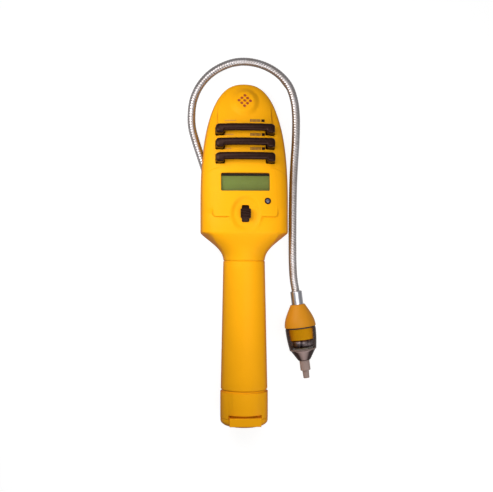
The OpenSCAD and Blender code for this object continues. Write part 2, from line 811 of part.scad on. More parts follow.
// Round rings of a given radius square to a row of points
function tube_rings(points, r, sides) = [for (i = [0:len(points) - 1])
    let (t = unit(points[min(i + 1, len(points) - 1)] - points[max(i - 1, 0)]),
         u = unit(cross([0, 0, 1], t)), v = cross(t, u))
    [for (j = [0:sides - 1]) points[i] + r * (cos(360 * j / sides) * u + sin(360 * j / sides) * v)]];

module door_spring() {
    color(STEEL) down_handle() loft(tube_rings(spring_points, spring_wire_r, 6));
}

// A cell with its button toward the head
module cell(d) {
    button_r = 4.7;
    button_h = 1.5;
    edge = 0.8;
    down_handle(d) turned([
        [0, 0], [button_r, 0], [button_r, button_h], [cell_r - edge, button_h], [cell_r, button_h + edge],
        [cell_r, cell_len - edge], [cell_r - edge, cell_len], [0, cell_len]]);
}

module cell_upper() {
    color([0.3, 0.3, 0.33]) cell(cells_d);
}

module cell_lower() {
    color([0.3, 0.3, 0.33]) cell(cells_d + cell_len);
}

module upper_contact() {
    plate = 0.6;
    color(BRASS) down_handle(bulkhead_d + bulkhead_t) turned([
        [0, 0], [9, 0], [9, plate], [5, plate], [4, contact_t], [0, contact_t]]);
}

// Two leads from the upper contact through the bulkhead to the board
lead_wire_r = 0.7;
lead_x = 2;
lead_run = 4;
lead_gap = 0.1;
function lead_route(side) = [
    [side * lead_x, -bulkhead_d - bulkhead_t, axis_z], [side * lead_x, -bulkhead_d + lead_run, axis_z],
    [side * 2 * lead_x, seam_y + lead_run, axis_z - lead_run / 2],
    [side * 3 * lead_x, crease_y - lead_run / 2, board_z - 0.75 * lead_run],
    [side * 3 * lead_x, screw_low_y - lead_run, board_z - 0.625 * lead_run],
    [side * 3 * lead_x, screw_low_y - lead_run / 2, board_z - lead_wire_r - lead_gap]];

module battery_leads() {
    color([0.6, 0.1, 0.08]) for (side = [-1, 1]) loft(tube_rings(lead_route(side), lead_wire_r, 8));
}

// Gooseneck

// Point on the smooth curve through the route, at span i and share t of it
function stop(i) = route[min(max(i, 0), len(route) - 1)];
function curve(i, t) = let (a = stop(i - 1), b = stop(i), c = stop(i + 1), d = stop(i + 2))
    0.5 * (2 * b + (c - a) * t + (2 * a - 5 * b + 4 * c - d) * t * t + (3 * b - a - 3 * c + d) * t * t * t);
route_points = concat(
    [for (i = [0:len(route) - 2]) for (k = [0:route_steps - 1]) curve(i, k / route_steps)],
    [route[len(route) - 1]]);
route_lengths = [for (i = 0, s = 0; i < len(route_points); s = s + (i + 1 < len(route_points) ?
    norm(route_points[i + 1] - route_points[i]) : 0), i = i + 1) s];
goose_len = route_lengths[len(route_lengths) - 1];
function route_axis(k) = [for (i = [0:len(route_points) - 1]) [route_lengths[i], route_points[i][k]]];
route_x = route_axis(0);
route_y = route_axis(1);
route_z = route_axis(2);
function place(s) = [lookup(s, route_x), lookup(s, route_y), lookup(s, route_z)];
function heading(s) = unit(place(s + 1) - place(s - 1));
echo(gooseneck_length = goose_len, swing = place(swing_at), lift = place(lift_at), wrist = place(wrist_at));

function goose_ring(s, r) = let (t = heading(s), u = unit(cross([0, 0, 1], t)), v = cross(t, u))
    [for (j = [0:goose_sides - 1]) let (a = 360 * j / goose_sides)
        place(s) + r * (cos(a) * u + sin(a) * v)];

// Skin of a bent sleeve, from a closed profile of places along the route and radii
module sleeve(profile) {
    k = len(profile);
    m = goose_sides;
    polyhedron(
        points = [for (p = profile) each goose_ring(p[0], p[1])],
        faces = [for (i = [0:k - 1]) for (j = [0:m - 1]) for (half = [0, 1])
            let (here = i * m, next = ((i + 1) % k) * m, turn = (j + 1) % m)
            half == 0 ? [here + j, here + turn, next + j] : [here + turn, next + turn, next + j]]);
}

// Ends of the sleeves at a bend: a ball on the lower sleeve turns in a cup in the upper one
cup_r = goose_r + bend_gap;
ball_tip = acos(goose_bore_r / goose_r);
cup_rim = acos(goose_r / cup_r);
cup_floor = acos(goose_bore_r / cup_r);
bend_steps = 4;
function ball_end(s) = [for (i = [0:bend_steps]) let (a = ball_tip * (1 - i / bend_steps))
    [s - goose_r * sin(a), goose_r * cos(a)]];
function cup_end(s) = [for (i = [0:bend_steps]) let (a = cup_rim + (cup_floor - cup_rim) * i / bend_steps)
    [s - cup_r * sin(a), cup_r * cos(a)]];
function square_end(s) = [[s, goose_r], [s, goose_bore_r]];
function ribs(a, b) = let (n = round((b - a) / rib_pitch)) [for (i = [0:n - 1]) each [
    [a + (b - a) * (i + 0.5) / n, goose_r - rib_depth], [a + (b - a) * (i + 1 - 1e-3) / n, goose_r]]];
bore_step = 8;
function bore(a, b) = let (n = ceil((b - a) / bore_step))
    [for (i = [1:n - 1]) [b - (b - a) * i / n, goose_bore_r]];

// Stretch of the gooseneck between two bends, or between a bend and an end of the route
module goose_stretch(from, to) {
    starts = from > 0;
    ends = to < goose_len;
    first = starts ? ball_end(from) : [[from, goose_bore_r], [from, goose_r]];
    last = ends ? cup_end(to) : square_end(to);
    bore_from = starts ? from - goose_r * sin(ball_tip) : from;
    bore_to = ends ? to - cup_r * sin(cup_floor) : to;
    rib_end = (ends ? to - cup_r * sin(cup_rim) : to) - 0.6;
    sleeve(concat(first, ribs(from + 0.6, rib_end), last, bore(bore_from, bore_to)));
}

module gooseneck_arch() {
    color(STEEL) goose_stretch(0, swing_at);
}

module gooseneck_shoulder() {
    color(STEEL) goose_stretch(swing_at, lift_at);
}

module gooseneck_drop() {
    color(STEEL) goose_stretch(lift_at, wrist_at);
}

module gooseneck_tail() {
    color(STEEL) goose_stretch(wrist_at, goose_len);
}

// Sensor lead in the bore, cut where the gooseneck bends
lead_step = 7;
module lead_stretch(from, to) {
    a = from > 0 ? from - goose_r * sin(ball_tip) : from;
    b = to < goose_len ? to - cup_r * sin(cup_floor) : to;
    n = ceil((b - a) / lead_step);
    loft(tube_rings([for (i = [0:n]) place(a + (b - a) * i / n)], lead_r, 6));
}

module sensor_lead_arch() {
    color(BLACK) lead_stretch(0, swing_at);
}

module sensor_lead_shoulder() {
    color(BLACK) lead_stretch(swing_at, lift_at);
}

module sensor_lead_drop() {
    color(BLACK) lead_stretch(lift_at, wrist_at);
}

module sensor_lead_tail() {
    color(BLACK) lead_stretch(wrist_at, goose_len);
}

module root_ferrule() {
    color(STEEL) along_root() difference() {
        cylinder(r = ferrule_r, h = ferrule_len);
        translate([0, 0, -margin]) cylinder(r = goose_r + seat_fit, h = ferrule_len + 2 * margin);
    }
}

// Probe

cap_steps = 8;
function cap_r(s) = cap_top_r + (probe_r - cap_top_r) * pow(sin(90 * s / cap_len), 1.1);
collet_r = goose_r + 1.65;
collet_len = neck_in_cap + 2;
collet_out = 12.5;
body_spigot_r = 9;
body_spigot_s = cap_len - 9;

module probe_cap() {
    top_round = 1.2;
    color(YELLOW) down_probe() turned(concat(
        [[collet_r + seat_fit, 0], [cap_r(0) - top_round, 0]],
        [for (i = [0:cap_steps]) let (s = top_round + (cap_len - top_round) * i / cap_steps) [cap_r(s), s]],
        [[body_spigot_r + seat_fit, cap_len], [body_spigot_r + seat_fit, body_spigot_s - seat_fit],
         [collet_r + seat_fit, body_spigot_s - seat_fit]]));
}

// Metal sleeve on the gooseneck's end: it stands out of the cap and is held in it
module probe_ferrule() {
    edge = 0.5;
    mouth_r = goose_r + bend_gap + seat_fit;
    grip_end = neck_in_cap + seat_fit;
    color(STEEL) down_probe() turned([
        [mouth_r, -collet_out], [collet_r - edge, -collet_out], [collet_r, edge - collet_out],
        [collet_r, collet_len], [goose_bore_r, collet_len], [goose_bore_r, grip_end],
        [goose_r + seat_fit, grip_end], [goose_r + seat_fit, edge], [mouth_r, 0]]);
}

cover_top_r = probe_r - 0.3;
band_r = cover_r(cover_s + band_len) - cover_wall - slide_fit;
can_s = cover_s + band_len;
can_len = cover_len - band_len - 1.6;

// Outside radius of the clear cover at a place down the probe
function cover_r(s) = cover_top_r + (cover_end_r - cover_top_r) * pow(share(s, cover_s, cover_end_s), 2);

module probe_body() {
    color(YELLOW) down_probe() turned([
        [goose_bore_r, body_spigot_s], [body_spigot_r, body_spigot_s],
        [body_spigot_r, cap_len], [seal_r - seal_t, cap_len], [seal_r - seal_t, cover_s], [band_r, cover_s],
        [band_r, can_s], [goose_bore_r, can_s]]);
}

seal_t = (cover_s - cap_len) / 2;
seal_r = probe_r - seal_t - 0.7;

module probe_seal() {
    color(BLACK) down_probe(cap_len + seal_t) rotate_extrude() translate([seal_r, 0]) circle(r = seal_t);
}

module sensor_can() {
    color(STEEL) down_probe(can_s) difference() {
        cylinder(r = can_r, h = can_len);
        translate([0, 0, can_len - 2]) cylinder(r = can_r - 2.4, h = 3);
    }
}

module flame_arrestor() {
    color(BRASS) down_probe(can_s + can_len - 2) cylinder(r = can_r - 2.4 - seat_fit, h = 1.8);
}

cover_steps = 8;
module sensor_cover() {
    outside = [for (i = [0:cover_steps]) let (s = cover_s + cover_len * i / cover_steps) [cover_r(s), s]];
    inside = [for (p = outside) [p[0] - cover_wall, p[1]]];
    color([0.4, 0.36, 0.34, 0.5]) down_probe() {
        turned(concat(outside, [for (i = [cover_steps:-1:0]) inside[i]]));
    }
}

ring_bore_r = can_r - 2;
module cover_ring() {
    color([0.55, 0.48, 0.45]) down_probe(cover_end_s) turned([
        [ring_bore_r, 0], [cover_end_r, 0], [cover_end_r, 1], [cover_end_r - 0.6, taper_s - cover_end_s],
        [ring_bore_r, taper_s - cover_end_s]]);
}

taper_r = 11;
taper_end_r = nozzle_r + 1.7;
module nozzle_holder() {
    color([0.2, 0.16, 0.16]) down_probe(taper_s) turned([
        [nozzle_r + seat_fit, 0], [taper_r, 0], [taper_r - 0.6, taper_len * 0.4], [taper_end_r, taper_len],
        [nozzle_r + seat_fit, taper_len]]);
}

// Nozzle: a stepped tube, thinner at each of its two shoulders
module nozzle() {
    mid_r = nozzle_r - 1;
    tip_r = mid_r - 1.2;
    bevel = 0.5;
    shoulder = taper_len + nozzle_lip;
    second = shoulder + nozzle_step;
    end = second + nozzle_tip;
    color([0.55, 0.45, 0.42, 0.8]) down_probe(taper_s) turned([
        [inlet_r, 0], [nozzle_r, 0], [nozzle_r, shoulder - bevel], [mid_r, shoulder],
        [mid_r, second - bevel], [tip_r, second], [tip_r - bevel / 2, end], [inlet_r, end]]);
}

module filter_disc() {
    color([0.85, 0.84, 0.8]) down_probe(cover_end_s + 2 * seat_fit) {
        cylinder(r = ring_bore_r - seat_fit, h = taper_s - cover_end_s - 3 * seat_fit);
    }
}

front_shell();
rear_shell();
lcd_window();
lcd_module();
main_board();
board_screws();
housing_screws();
upper_bar_key();
middle_bar_key();
lower_bar_key();
key_switches();
thumb_slide();
slide_switch();
light_sensor();
sounder();
grille_cloth();
handle_tube();
end_collar();
battery_door();
door_pin();
door_spring();
door_contact();
cell_upper();
cell_lower();
upper_contact();
battery_leads();
root_ferrule();
gooseneck_arch();
gooseneck_shoulder();
gooseneck_drop();
gooseneck_tail();
sensor_lead_arch();
sensor_lead_shoulder();
sensor_lead_drop();
sensor_lead_tail();
probe_cap();
probe_ferrule();
probe_body();
probe_seal();
sensor_can();
flame_arrestor();
sensor_cover();
cover_ring();
nozzle_holder();
nozzle();
filter_disc();
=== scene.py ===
"""Looks of a portable gas detector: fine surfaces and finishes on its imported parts."""

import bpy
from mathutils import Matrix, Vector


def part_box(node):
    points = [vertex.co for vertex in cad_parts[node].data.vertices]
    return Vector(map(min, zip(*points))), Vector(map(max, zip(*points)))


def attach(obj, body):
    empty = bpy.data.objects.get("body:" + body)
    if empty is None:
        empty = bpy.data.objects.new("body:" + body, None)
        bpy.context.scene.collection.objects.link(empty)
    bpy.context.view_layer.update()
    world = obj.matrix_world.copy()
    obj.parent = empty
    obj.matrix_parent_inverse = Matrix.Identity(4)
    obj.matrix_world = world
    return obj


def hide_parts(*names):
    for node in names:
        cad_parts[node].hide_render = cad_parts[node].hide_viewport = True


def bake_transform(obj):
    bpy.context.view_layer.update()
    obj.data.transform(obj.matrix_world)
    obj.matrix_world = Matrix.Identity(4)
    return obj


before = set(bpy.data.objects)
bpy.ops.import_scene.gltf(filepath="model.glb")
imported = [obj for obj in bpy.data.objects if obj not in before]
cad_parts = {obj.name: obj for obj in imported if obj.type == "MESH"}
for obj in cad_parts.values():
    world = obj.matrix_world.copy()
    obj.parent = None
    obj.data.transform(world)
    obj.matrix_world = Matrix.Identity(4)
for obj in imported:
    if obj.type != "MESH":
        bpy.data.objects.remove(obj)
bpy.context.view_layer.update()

import logging
import math
from dataclasses import dataclass, field
from enum import Enum
from typing import Optional, Sequence

import bmesh
import bpy
import numpy as np
from mathutils import Matrix

Colour = tuple[float, float, float]
Pair = tuple[float, float]

MM = 0.001
SHARP_FROM = 32.0
# Directions of the frame: +X, +Y and +Z
ACROSS, AHEAD, UP = np.eye(3)
# Measures that several pieces share, in millimetres and radians
AXIS_Z = 22.0
HALF_WIDTH = 40.3
PROBE_TOP = (50.1, -115.5, 20.0)
PROBE_LEAN = math.radians(7.0)

log = logging.getLogger("gas_detector")


class Body(str, Enum):
    """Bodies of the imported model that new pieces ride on."""

    HOUSING = "housing"
    UPPER_KEY = "upper_key"
    MIDDLE_KEY = "middle_key"
    LOWER_KEY = "lower_key"
    DOOR = "door"
    SHOULDER = "shoulder"
    DROP = "drop"
    PROBE = "probe"


class Slot(str, Enum):
    """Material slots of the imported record."""

    YELLOW = "yellow_plastic"
    BLACK = "black_plastic"
    WINDOW = "clear_window"
    DISPLAY = "display"
    BOARD = "circuit_board"
    STEEL = "steel"
    LENS = "lens"
    CLOTH = "grille_cloth"
    BRASS = "brass"
    CELL = "cell_jacket"
    LEAD = "lead_jacket"
    WOUND = "wound_steel"
    SEAL = "seal_rubber"
    COVER = "smoked_cover"
    RING = "smoked_ring"
    FILTER = "filter"


# Numbers


def share(value: np.ndarray, low: float, high: float) -> np.ndarray:
    """Share of the way from low to high, held between 0 and 1."""
    return np.clip((np.asarray(value, float) - low) / (high - low), 0.0, 1.0)


def smooth(value: np.ndarray, low: float, high: float) -> np.ndarray:
    """Smoothstep of the way from low to high."""
    t = share(value, low, high)
    return t * t * (3.0 - 2.0 * t)


def unit(vector: np.ndarray) -> np.ndarray:
    """Vectors scaled to length 1, along the last axis."""
    return vector / np.linalg.norm(vector, axis=-1, keepdims=True)


def full_turn(count: int) -> np.ndarray:
    """Angles evenly round a circle."""
    return np.linspace(0.0, 2 * math.pi, count + 1)[:-1]


def spaced(*spans: tuple[float, float, int]) -> np.ndarray:
    """Evenly spaced values in one span after another, each given by start, end and count."""
    return np.concatenate([np.linspace(*span) for span in spans])


def raised(plan: np.ndarray, height: object) -> np.ndarray:
    """Points of a plan with a third coordinate: one height for all, or one for each."""
    return np.concatenate([plan, np.broadcast_to(np.reshape(height, (-1, 1)), (len(plan), 1))], axis=1)


def hoops(middle: np.ndarray, radius: object, turn: np.ndarray, across: np.ndarray,
          up: np.ndarray) -> np.ndarray:
    """Circles of points round places.

    Args:
        middle: Middle of each circle.
        radius: One radius for all, or an array that spreads over circles by points by 1.
        turn: Angle of each point.
        across: Direction of the angle 0 of each circle, or one for all.
        up: Direction square to it, likewise.

    Returns:
        Points as circles by points by 3.
    """
    across, up = np.reshape(across, (-1, 1, 3)), np.reshape(up, (-1, 1, 3))
    ring = np.cos(turn)[None, :, None] * across + np.sin(turn)[None, :, None] * up
    return middle[:, None] + radius * ring


def rounded_corners(points: Sequence[Sequence[float]], radius: float, steps: int = 5) -> np.ndarray:
    """Rounds the corners of a closed outline.

    Each corner becomes a quadratic curve that starts and ends one radius along its two sides, or at
    45 % of a side that is too short for it.

    Args:
        points: Corners of the outline in order.
        radius: How far along each side the curve starts.
        steps: Number of pieces of each curve.

    Returns:
        The rounded outline, as points in order.
    """
    corner = np.asarray(points, float)
    back = np.roll(corner, 1, axis=0) - corner
    ahead = np.roll(corner, -1, axis=0) - corner
    back_len = np.linalg.norm(back, axis=1, keepdims=True)
    ahead_len = np.linalg.norm(ahead, axis=1, keepdims=True)
    start = corner + back / back_len * np.minimum(radius, 0.45 * back_len)
    end = corner + ahead / ahead_len * np.minimum(radius, 0.45 * ahead_len)
    t = np.linspace(0.0, 1.0, steps + 1)[None, :, None]
    curve = (1 - t) ** 2 * start[:, None] + 2 * t * (1 - t) * corner[:, None] + t**2 * end[:, None]
    return curve.reshape(-1, corner.shape[1])


def rounded_rectangle(width: float, length: float, radius: float, steps: int = 6) -> np.ndarray:
    """Closed outline of a rectangle round the origin with round corners."""
    turn = np.linspace(0.0, math.pi / 2, steps + 1)
    quarter = np.stack([np.cos(turn), np.sin(turn)], axis=1) * radius
    middle = np.array([width / 2 - radius, length / 2 - radius])
    spins = np.array([[[1, 0], [0, 1]], [[0, -1], [1, 0]], [[-1, 0], [0, -1]], [[0, 1], [-1, 0]]], float)
    corners = middle * np.array([[1, 1], [-1, 1], [-1, -1], [1, -1]], float)
    return (np.einsum("kij,nj->kni", spins, quarter) + corners[:, None]).reshape(-1, 2)


# Meshes


def grid_faces(rows: int, columns: int, loop: bool) -> list[list[int]]:
    """Quads between the points of a grid, with its rows closed on themselves if loop is set."""
    index = np.arange(rows * columns).reshape(rows, columns)
    after = np.roll(index, -1, axis=1)
    if not loop:
        index, after = index[:, :-1], after[:, :-1]
    return np.stack([index[:-1], after[:-1], after[1:], index[1:]], axis=-1).reshape(-1, 4).tolist()


def finish_mesh(mesh: bpy.types.Mesh, crease: float = SHARP_FROM) -> None:
    """Joins doubled points, turns faces outward, and shades smooth up to a crease angle.

    Args:
        mesh: Mesh to finish.
        crease: Angle in degrees from which an edge stays sharp.
    """
    work = bmesh.new()
    work.from_mesh(mesh)
    bmesh.ops.remove_doubles(work, verts=work.verts[:], dist=1e-6)
    bmesh.ops.recalc_face_normals(work, faces=work.faces[:])
    work.to_mesh(mesh)
    work.free()
    mesh.polygons.foreach_set("use_smooth", np.ones(len(mesh.polygons), bool))
    mesh.set_sharp_from_angle(angle=math.radians(crease))


def linked(name: str, data: bpy.types.ID) -> bpy.types.Object:
    """Object of that name with mesh, lamp or camera data, linked to the scene."""
    obj = bpy.data.objects.new(name, data)
    bpy.context.scene.collection.objects.link(obj)
    return obj


def new_object(name: str, points: np.ndarray, faces: list[list[int]],
               crease: float = SHARP_FROM) -> bpy.types.Object:
    """Object at the origin from points in millimetres and faces."""
    mesh = bpy.data.meshes.new(name)
    mesh.from_pydata((np.asarray(points, float).reshape(-1, 3) * MM).tolist(), [], faces)
    finish_mesh(mesh, crease)
    return linked(name, mesh)


def loft(name: str, rows: np.ndarray, caps: bool = True, ring: bool = False,
         crease: float = SHARP_FROM) -> bpy.types.Object:
    """Surface through closed loops of points.

    Args:
        name: Name of the new object.
        rows: Points in millimetres, as an array of loops by points by 3.
        caps: Closes the first and last loop with a face each.
        ring: Joins the last loop to the first one instead.
        crease: Angle in degrees from which an edge stays sharp.

    Returns:
        The new object.
    """
    rows = np.asarray(rows, float)
    if ring:
        rows = np.concatenate([rows, rows[:1]])
    count, size = rows.shape[:2]
    faces = grid_faces(count, size, True)
    if caps and not ring:
        faces += [list(range(size))[::-1], list(range((count - 1) * size, count * size))]
    return new_object(name, rows, faces, crease)


def joined(name: str, objs: Sequence[bpy.types.Object]) -> bpy.types.Object:
    """One object out of several, which are removed."""
    work = bmesh.new()
    for obj in objs:
        work.from_mesh(obj.data)
    mesh = bpy.data.meshes.new(name)
    work.to_mesh(mesh)
    work.free()
    for obj in objs:
        bpy.data.objects.remove(obj)
    finish_mesh(mesh)
    return linked(name, mesh)


def without(obj: bpy.types.Object, tool: bpy.types.Object) -> bpy.types.Object:
    """Cuts one closed object out of another by an exact boolean, baked into the mesh; the tool is removed."""
    modifier = obj.modifiers.new("cut", "BOOLEAN")
    modifier.operation = "DIFFERENCE"
    modifier.solver = "EXACT"
    modifier.object = tool
    bpy.context.view_layer.update()
    mesh = bpy.data.meshes.new_from_object(obj.evaluated_get(bpy.context.evaluated_depsgraph_get()))
    obj.modifiers.clear()
    obj.data = mesh
    mesh.name = obj.name
    bpy.data.objects.remove(tool)
    finish_mesh(mesh)
    return obj


def round_edges(obj: bpy.types.Object, width: float, sharper_than: float = 34.0) -> None:
    """Bevel of a width in millimetres on all edges sharper than an angle in degrees."""
    bevel = obj.modifiers.new("round", "BEVEL")
    bevel.width = width * MM
    bevel.segments = 3
    bevel.limit_method = "ANGLE"
    bevel.angle_limit = math.radians(sharper_than)


# Finishes


class Nodes:
    """Small helper that adds nodes to a tree and joins them."""

    def __init__(self, tree: bpy.types.NodeTree) -> None:
        """Keeps the tree that nodes go into."""
        self.tree = tree

    def add(self, kind: str, **settings: object) -> bpy.types.Node:
        """Adds a node; settings are its properties."""
        node = self.tree.nodes.new(kind)
        for key, value in settings.items():
            setattr(node, key, value)
        return node

    def put(self, node: bpy.types.Node, socket: object, value: object) -> None:
        """Sets an input of a node, or joins it to an output."""
        if isinstance(value, bpy.types.NodeSocket):
            self.tree.links.new(value, node.inputs[socket])
        else:
            node.inputs[socket].default_value = value

    def noise(self, vector: object, scale: object, detail: float = 2.0) -> bpy.types.NodeSocket:
        """Noise factor at a place."""
        node = self.add("ShaderNodeTexNoise")
        self.put(node, "Vector", vector)
        self.put(node, "Scale", scale)
        self.put(node, "Detail", detail)
        return node.outputs["Fac"]

    def math(self, operation: str, first: object, second: object = 0.0,
             clamp: bool = False) -> bpy.types.NodeSocket:
        """Result of an operation on one or two values."""
        node = self.add("ShaderNodeMath", operation=operation, use_clamp=clamp)
        self.put(node, 0, first)
        self.put(node, 1, second)
        return node.outputs[0]

    def ramp(self, value: object, low: object, high: object, start: object = 0.0,
             end: object = 1.0) -> bpy.types.NodeSocket:
        """Value carried from low..high to start..end, clamped."""
        node = self.add("ShaderNodeMapRange")
        for socket, setting in zip(range(5), (value, low, high, start, end)):
            self.put(node, socket, setting)
        return node.outputs[0]

    def blend(self, fraction: object, first: object, second: object) -> bpy.types.NodeSocket:
        """Mix of two colours."""
        node = self.add("ShaderNodeMix", data_type="RGBA")
        self.put(node, 0, fraction)
        self.put(node, 6, first)
        self.put(node, 7, second)
        return node.outputs[2]

    def split(self, vector: object) -> bpy.types.NodeOutputs:
        """X, Y and Z of a place."""
        node = self.add("ShaderNodeSeparateXYZ")
        self.put(node, 0, vector)
        return node.outputs

    def waves(self, place: object, pitch_mm: float) -> list[bpy.types.NodeSocket]:
        """Sine waves of one pitch along X and along Y."""
        turns = 2 * math.pi / (pitch_mm * MM)
        split = self.split(place)
        return [self.math("SINE", self.math("MULTIPLY", split[axis], turns)) for axis in ("X", "Y")]

    def facing(self) -> bpy.types.NodeSocket:
        """0 where the surface faces the eye, and 1 where it is seen edge on."""
        node = self.add("ShaderNodeLayerWeight")
        self.put(node, "Blend", 0.5)
        return node.outputs["Facing"]


class Groups:
    """Shared effects as node groups, made once each."""

    @staticmethod
    def start(name: str, inputs: Sequence[tuple],
              outputs: Sequence[tuple]) -> tuple[bpy.types.NodeTree, Nodes, dict]:
        """Makes an empty group with its sockets.

        Args:
            name: Name of the group.
            inputs: Name and socket type of each input.
            outputs: Name and socket type of each output.

        Returns:
            The group, the helper on it, and its inputs by name with the output node as "out".
        """
        tree = bpy.data.node_groups.new(name, "ShaderNodeTree")
        for label, kind in inputs:
            tree.interface.new_socket(label, in_out="INPUT", socket_type=kind)
        for label, kind in outputs:
            tree.interface.new_socket(label, in_out="OUTPUT", socket_type=kind)
        nodes = Nodes(tree)
        source = nodes.add("NodeGroupInput")
        sockets = {label: source.outputs[label] for label, _ in inputs}
        sockets["out"] = nodes.add("NodeGroupOutput")
        return tree, nodes, sockets

    @classmethod
    def grain(cls) -> bpy.types.NodeTree:
        """Moulded grain: fine bumps, slow mottling of the colour and uneven gloss."""
        found = bpy.data.node_groups.get("moulded_grain")
        if found:
            return found
        tree, n, at = cls.start(
            "moulded_grain",
            [("Place", "NodeSocketVector"), ("Colour", "NodeSocketColor"), ("Scale", "NodeSocketFloat"),
             ("Mottle", "NodeSocketFloat"), ("Roughness", "NodeSocketFloat")],
            [("Colour", "NodeSocketColor"), ("Roughness", "NodeSocketFloat"), ("Height", "NodeSocketFloat")])
        slow_share, rubbed_share, gloss_change = 0.016, 0.045, 0.16
        fine = n.noise(at["Place"], at["Scale"])
        slow = n.noise(at["Place"], n.math("MULTIPLY", at["Scale"], slow_share), detail=3.0)
        shade = n.math("ADD", 1.0, n.math("MULTIPLY", n.math("SUBTRACT", slow, 0.5), at["Mottle"]))
        tint = n.add("ShaderNodeVectorMath", operation="SCALE")
        n.put(tint, 0, at["Colour"])
        n.put(tint, "Scale", shade)
        n.put(at["out"], "Colour", tint.outputs[0])
        rubbed = n.noise(at["Place"], n.math("MULTIPLY", at["Scale"], rubbed_share), detail=4.0)
        uneven = n.math("MULTIPLY", n.math("SUBTRACT", rubbed, 0.5), gloss_change)
        n.put(at["out"], "Roughness", n.math("ADD", at["Roughness"], uneven, clamp=True))
        n.put(at["out"], "Height", fine)
        return tree

    @classmethod
    def scratches(cls) -> bpy.types.NodeTree:
        """Fine drawn lines along one direction, as a height and a share of the surface."""
        found = bpy.data.node_groups.get("drawn_lines")
        if found:
            return found
        tree, n, at = cls.start(
            "drawn_lines",
            [("Place", "NodeSocketVector"), ("Stretch", "NodeSocketVector"), ("Scale", "NodeSocketFloat")],
            [("Height", "NodeSocketFloat"), ("Share", "NodeSocketFloat")])
        stretched = n.add("ShaderNodeVectorMath", operation="MULTIPLY")
        n.put(stretched, 0, at["Place"])
        n.put(stretched, 1, at["Stretch"])
        lines = n.noise(stretched.outputs[0], at["Scale"], detail=4.0)
        n.put(at["out"], "Height", lines)
        n.put(at["out"], "Share", n.ramp(lines, 0.56, 0.72))
        return tree


def opaque(colour: Colour) -> tuple[float, float, float, float]:
    """Colour with full alpha."""
    return (*colour, 1.0)


def group_node(nodes: Nodes, tree: bpy.types.NodeTree, **inputs: object) -> bpy.types.Node:
    """Adds a group to a material and sets its inputs."""
    node = nodes.add("ShaderNodeGroup", node_tree=tree)
    for label, value in inputs.items():
        nodes.put(node, label, value)
    return node


@dataclass(frozen=True)
class Finish:
    """A finish that makes one material."""

    name: str
    colour: Colour
    roughness: float = 0.45

    def start(self) -> tuple[bpy.types.Material, Nodes, bpy.types.Node, bpy.types.NodeSocket]:
        """New material with its shader and the place on the object.

        Returns:
            The material, the node helper, the Principled shader and the Object coordinates.
        """
        material = bpy.data.materials.new(f"{self.name}_finish")
        material.use_nodes = True
        nodes = Nodes(material.node_tree)
        shader = material.node_tree.nodes["Principled BSDF"]
        nodes.put(shader, "Base Color", opaque(self.colour))
        nodes.put(shader, "Roughness", self.roughness)
        material.diffuse_color = opaque(self.colour)
        return material, nodes, shader, nodes.add("ShaderNodeTexCoord").outputs["Object"]

    @staticmethod
    def bump(nodes: Nodes, shader: bpy.types.Node, height: object, strength: float, depth_mm: float) -> None:
        """Joins a height to the shader's normal."""
        node = nodes.add("ShaderNodeBump")
        nodes.put(node, "Strength", strength)
        nodes.put(node, "Distance", depth_mm * MM)
        nodes.put(node, "Height", height)
        nodes.put(shader, "Normal", node.outputs[0])

    def cloud_gloss(self, nodes: Nodes, shader: bpy.types.Node, cloud: object, rougher: float) -> None:
        """Lets the roughness rise by up to rougher with a noise factor."""
        rough = nodes.ramp(cloud, 0.3, 0.7, self.roughness, self.roughness + rougher)
        nodes.put(shader, "Roughness", rough)

    def material(self) -> bpy.types.Material:
        """The material, made at its first use."""
        return bpy.data.materials.get(f"{self.name}_finish") or self.make()

    def make(self) -> bpy.types.Material:
        """Builds the material."""
        raise NotImplementedError


@dataclass(frozen=True)
class MouldedFinish(Finish):
    """Moulded plastic or rubber with a fine grain and, if set, a painted shade: an edge colour blended in
    where the surface is seen edge on.
    """

    grain_mm: float = 0.35
    depth_mm: float = 0.02
    mottle: float = 0.06
    coat: float = 0.0
    specular: float = 0.5
    gloss: Colour = (1.0, 1.0, 1.0)
    # Colour of the painted shade that darkens and browns the surface where it is seen edge on
    edge: Optional[Colour] = None
    painted_shade_from: float = 0.48
    painted_shade_to: float = 0.9
    painted_shade_share: float = 0.75
    bump_strength: float = 0.35

    def make(self) -> bpy.types.Material:
        """Builds the material."""
        material, n, shader, place = self.start()
        grain = group_node(n, Groups.grain(), Place=place, Colour=opaque(self.colour), Mottle=self.mottle,
                           Scale=1.0 / (self.grain_mm * MM), Roughness=self.roughness)
        colour = grain.outputs["Colour"]
        # Painted shade: the edge colour is blended in at glancing looks, browning steep flanks as if in shade
        if self.edge:
            glancing = n.ramp(n.facing(), self.painted_shade_from, self.painted_shade_to, 0.0, self.painted_shade_share)
            colour = n.blend(glancing, colour, opaque(self.edge))
        n.put(shader, "Base Color", colour)
        n.put(shader, "Roughness", grain.outputs["Roughness"])
        n.put(shader, "Coat Weight", self.coat)
        n.put(shader, "Coat Roughness", 0.25)
        n.put(shader, "Specular IOR Level", self.specular)
        n.put(shader, "Specular Tint", opaque(self.gloss))
        self.bump(n, shader, grain.outputs["Height"], self.bump_strength, self.depth_mm)
        return material


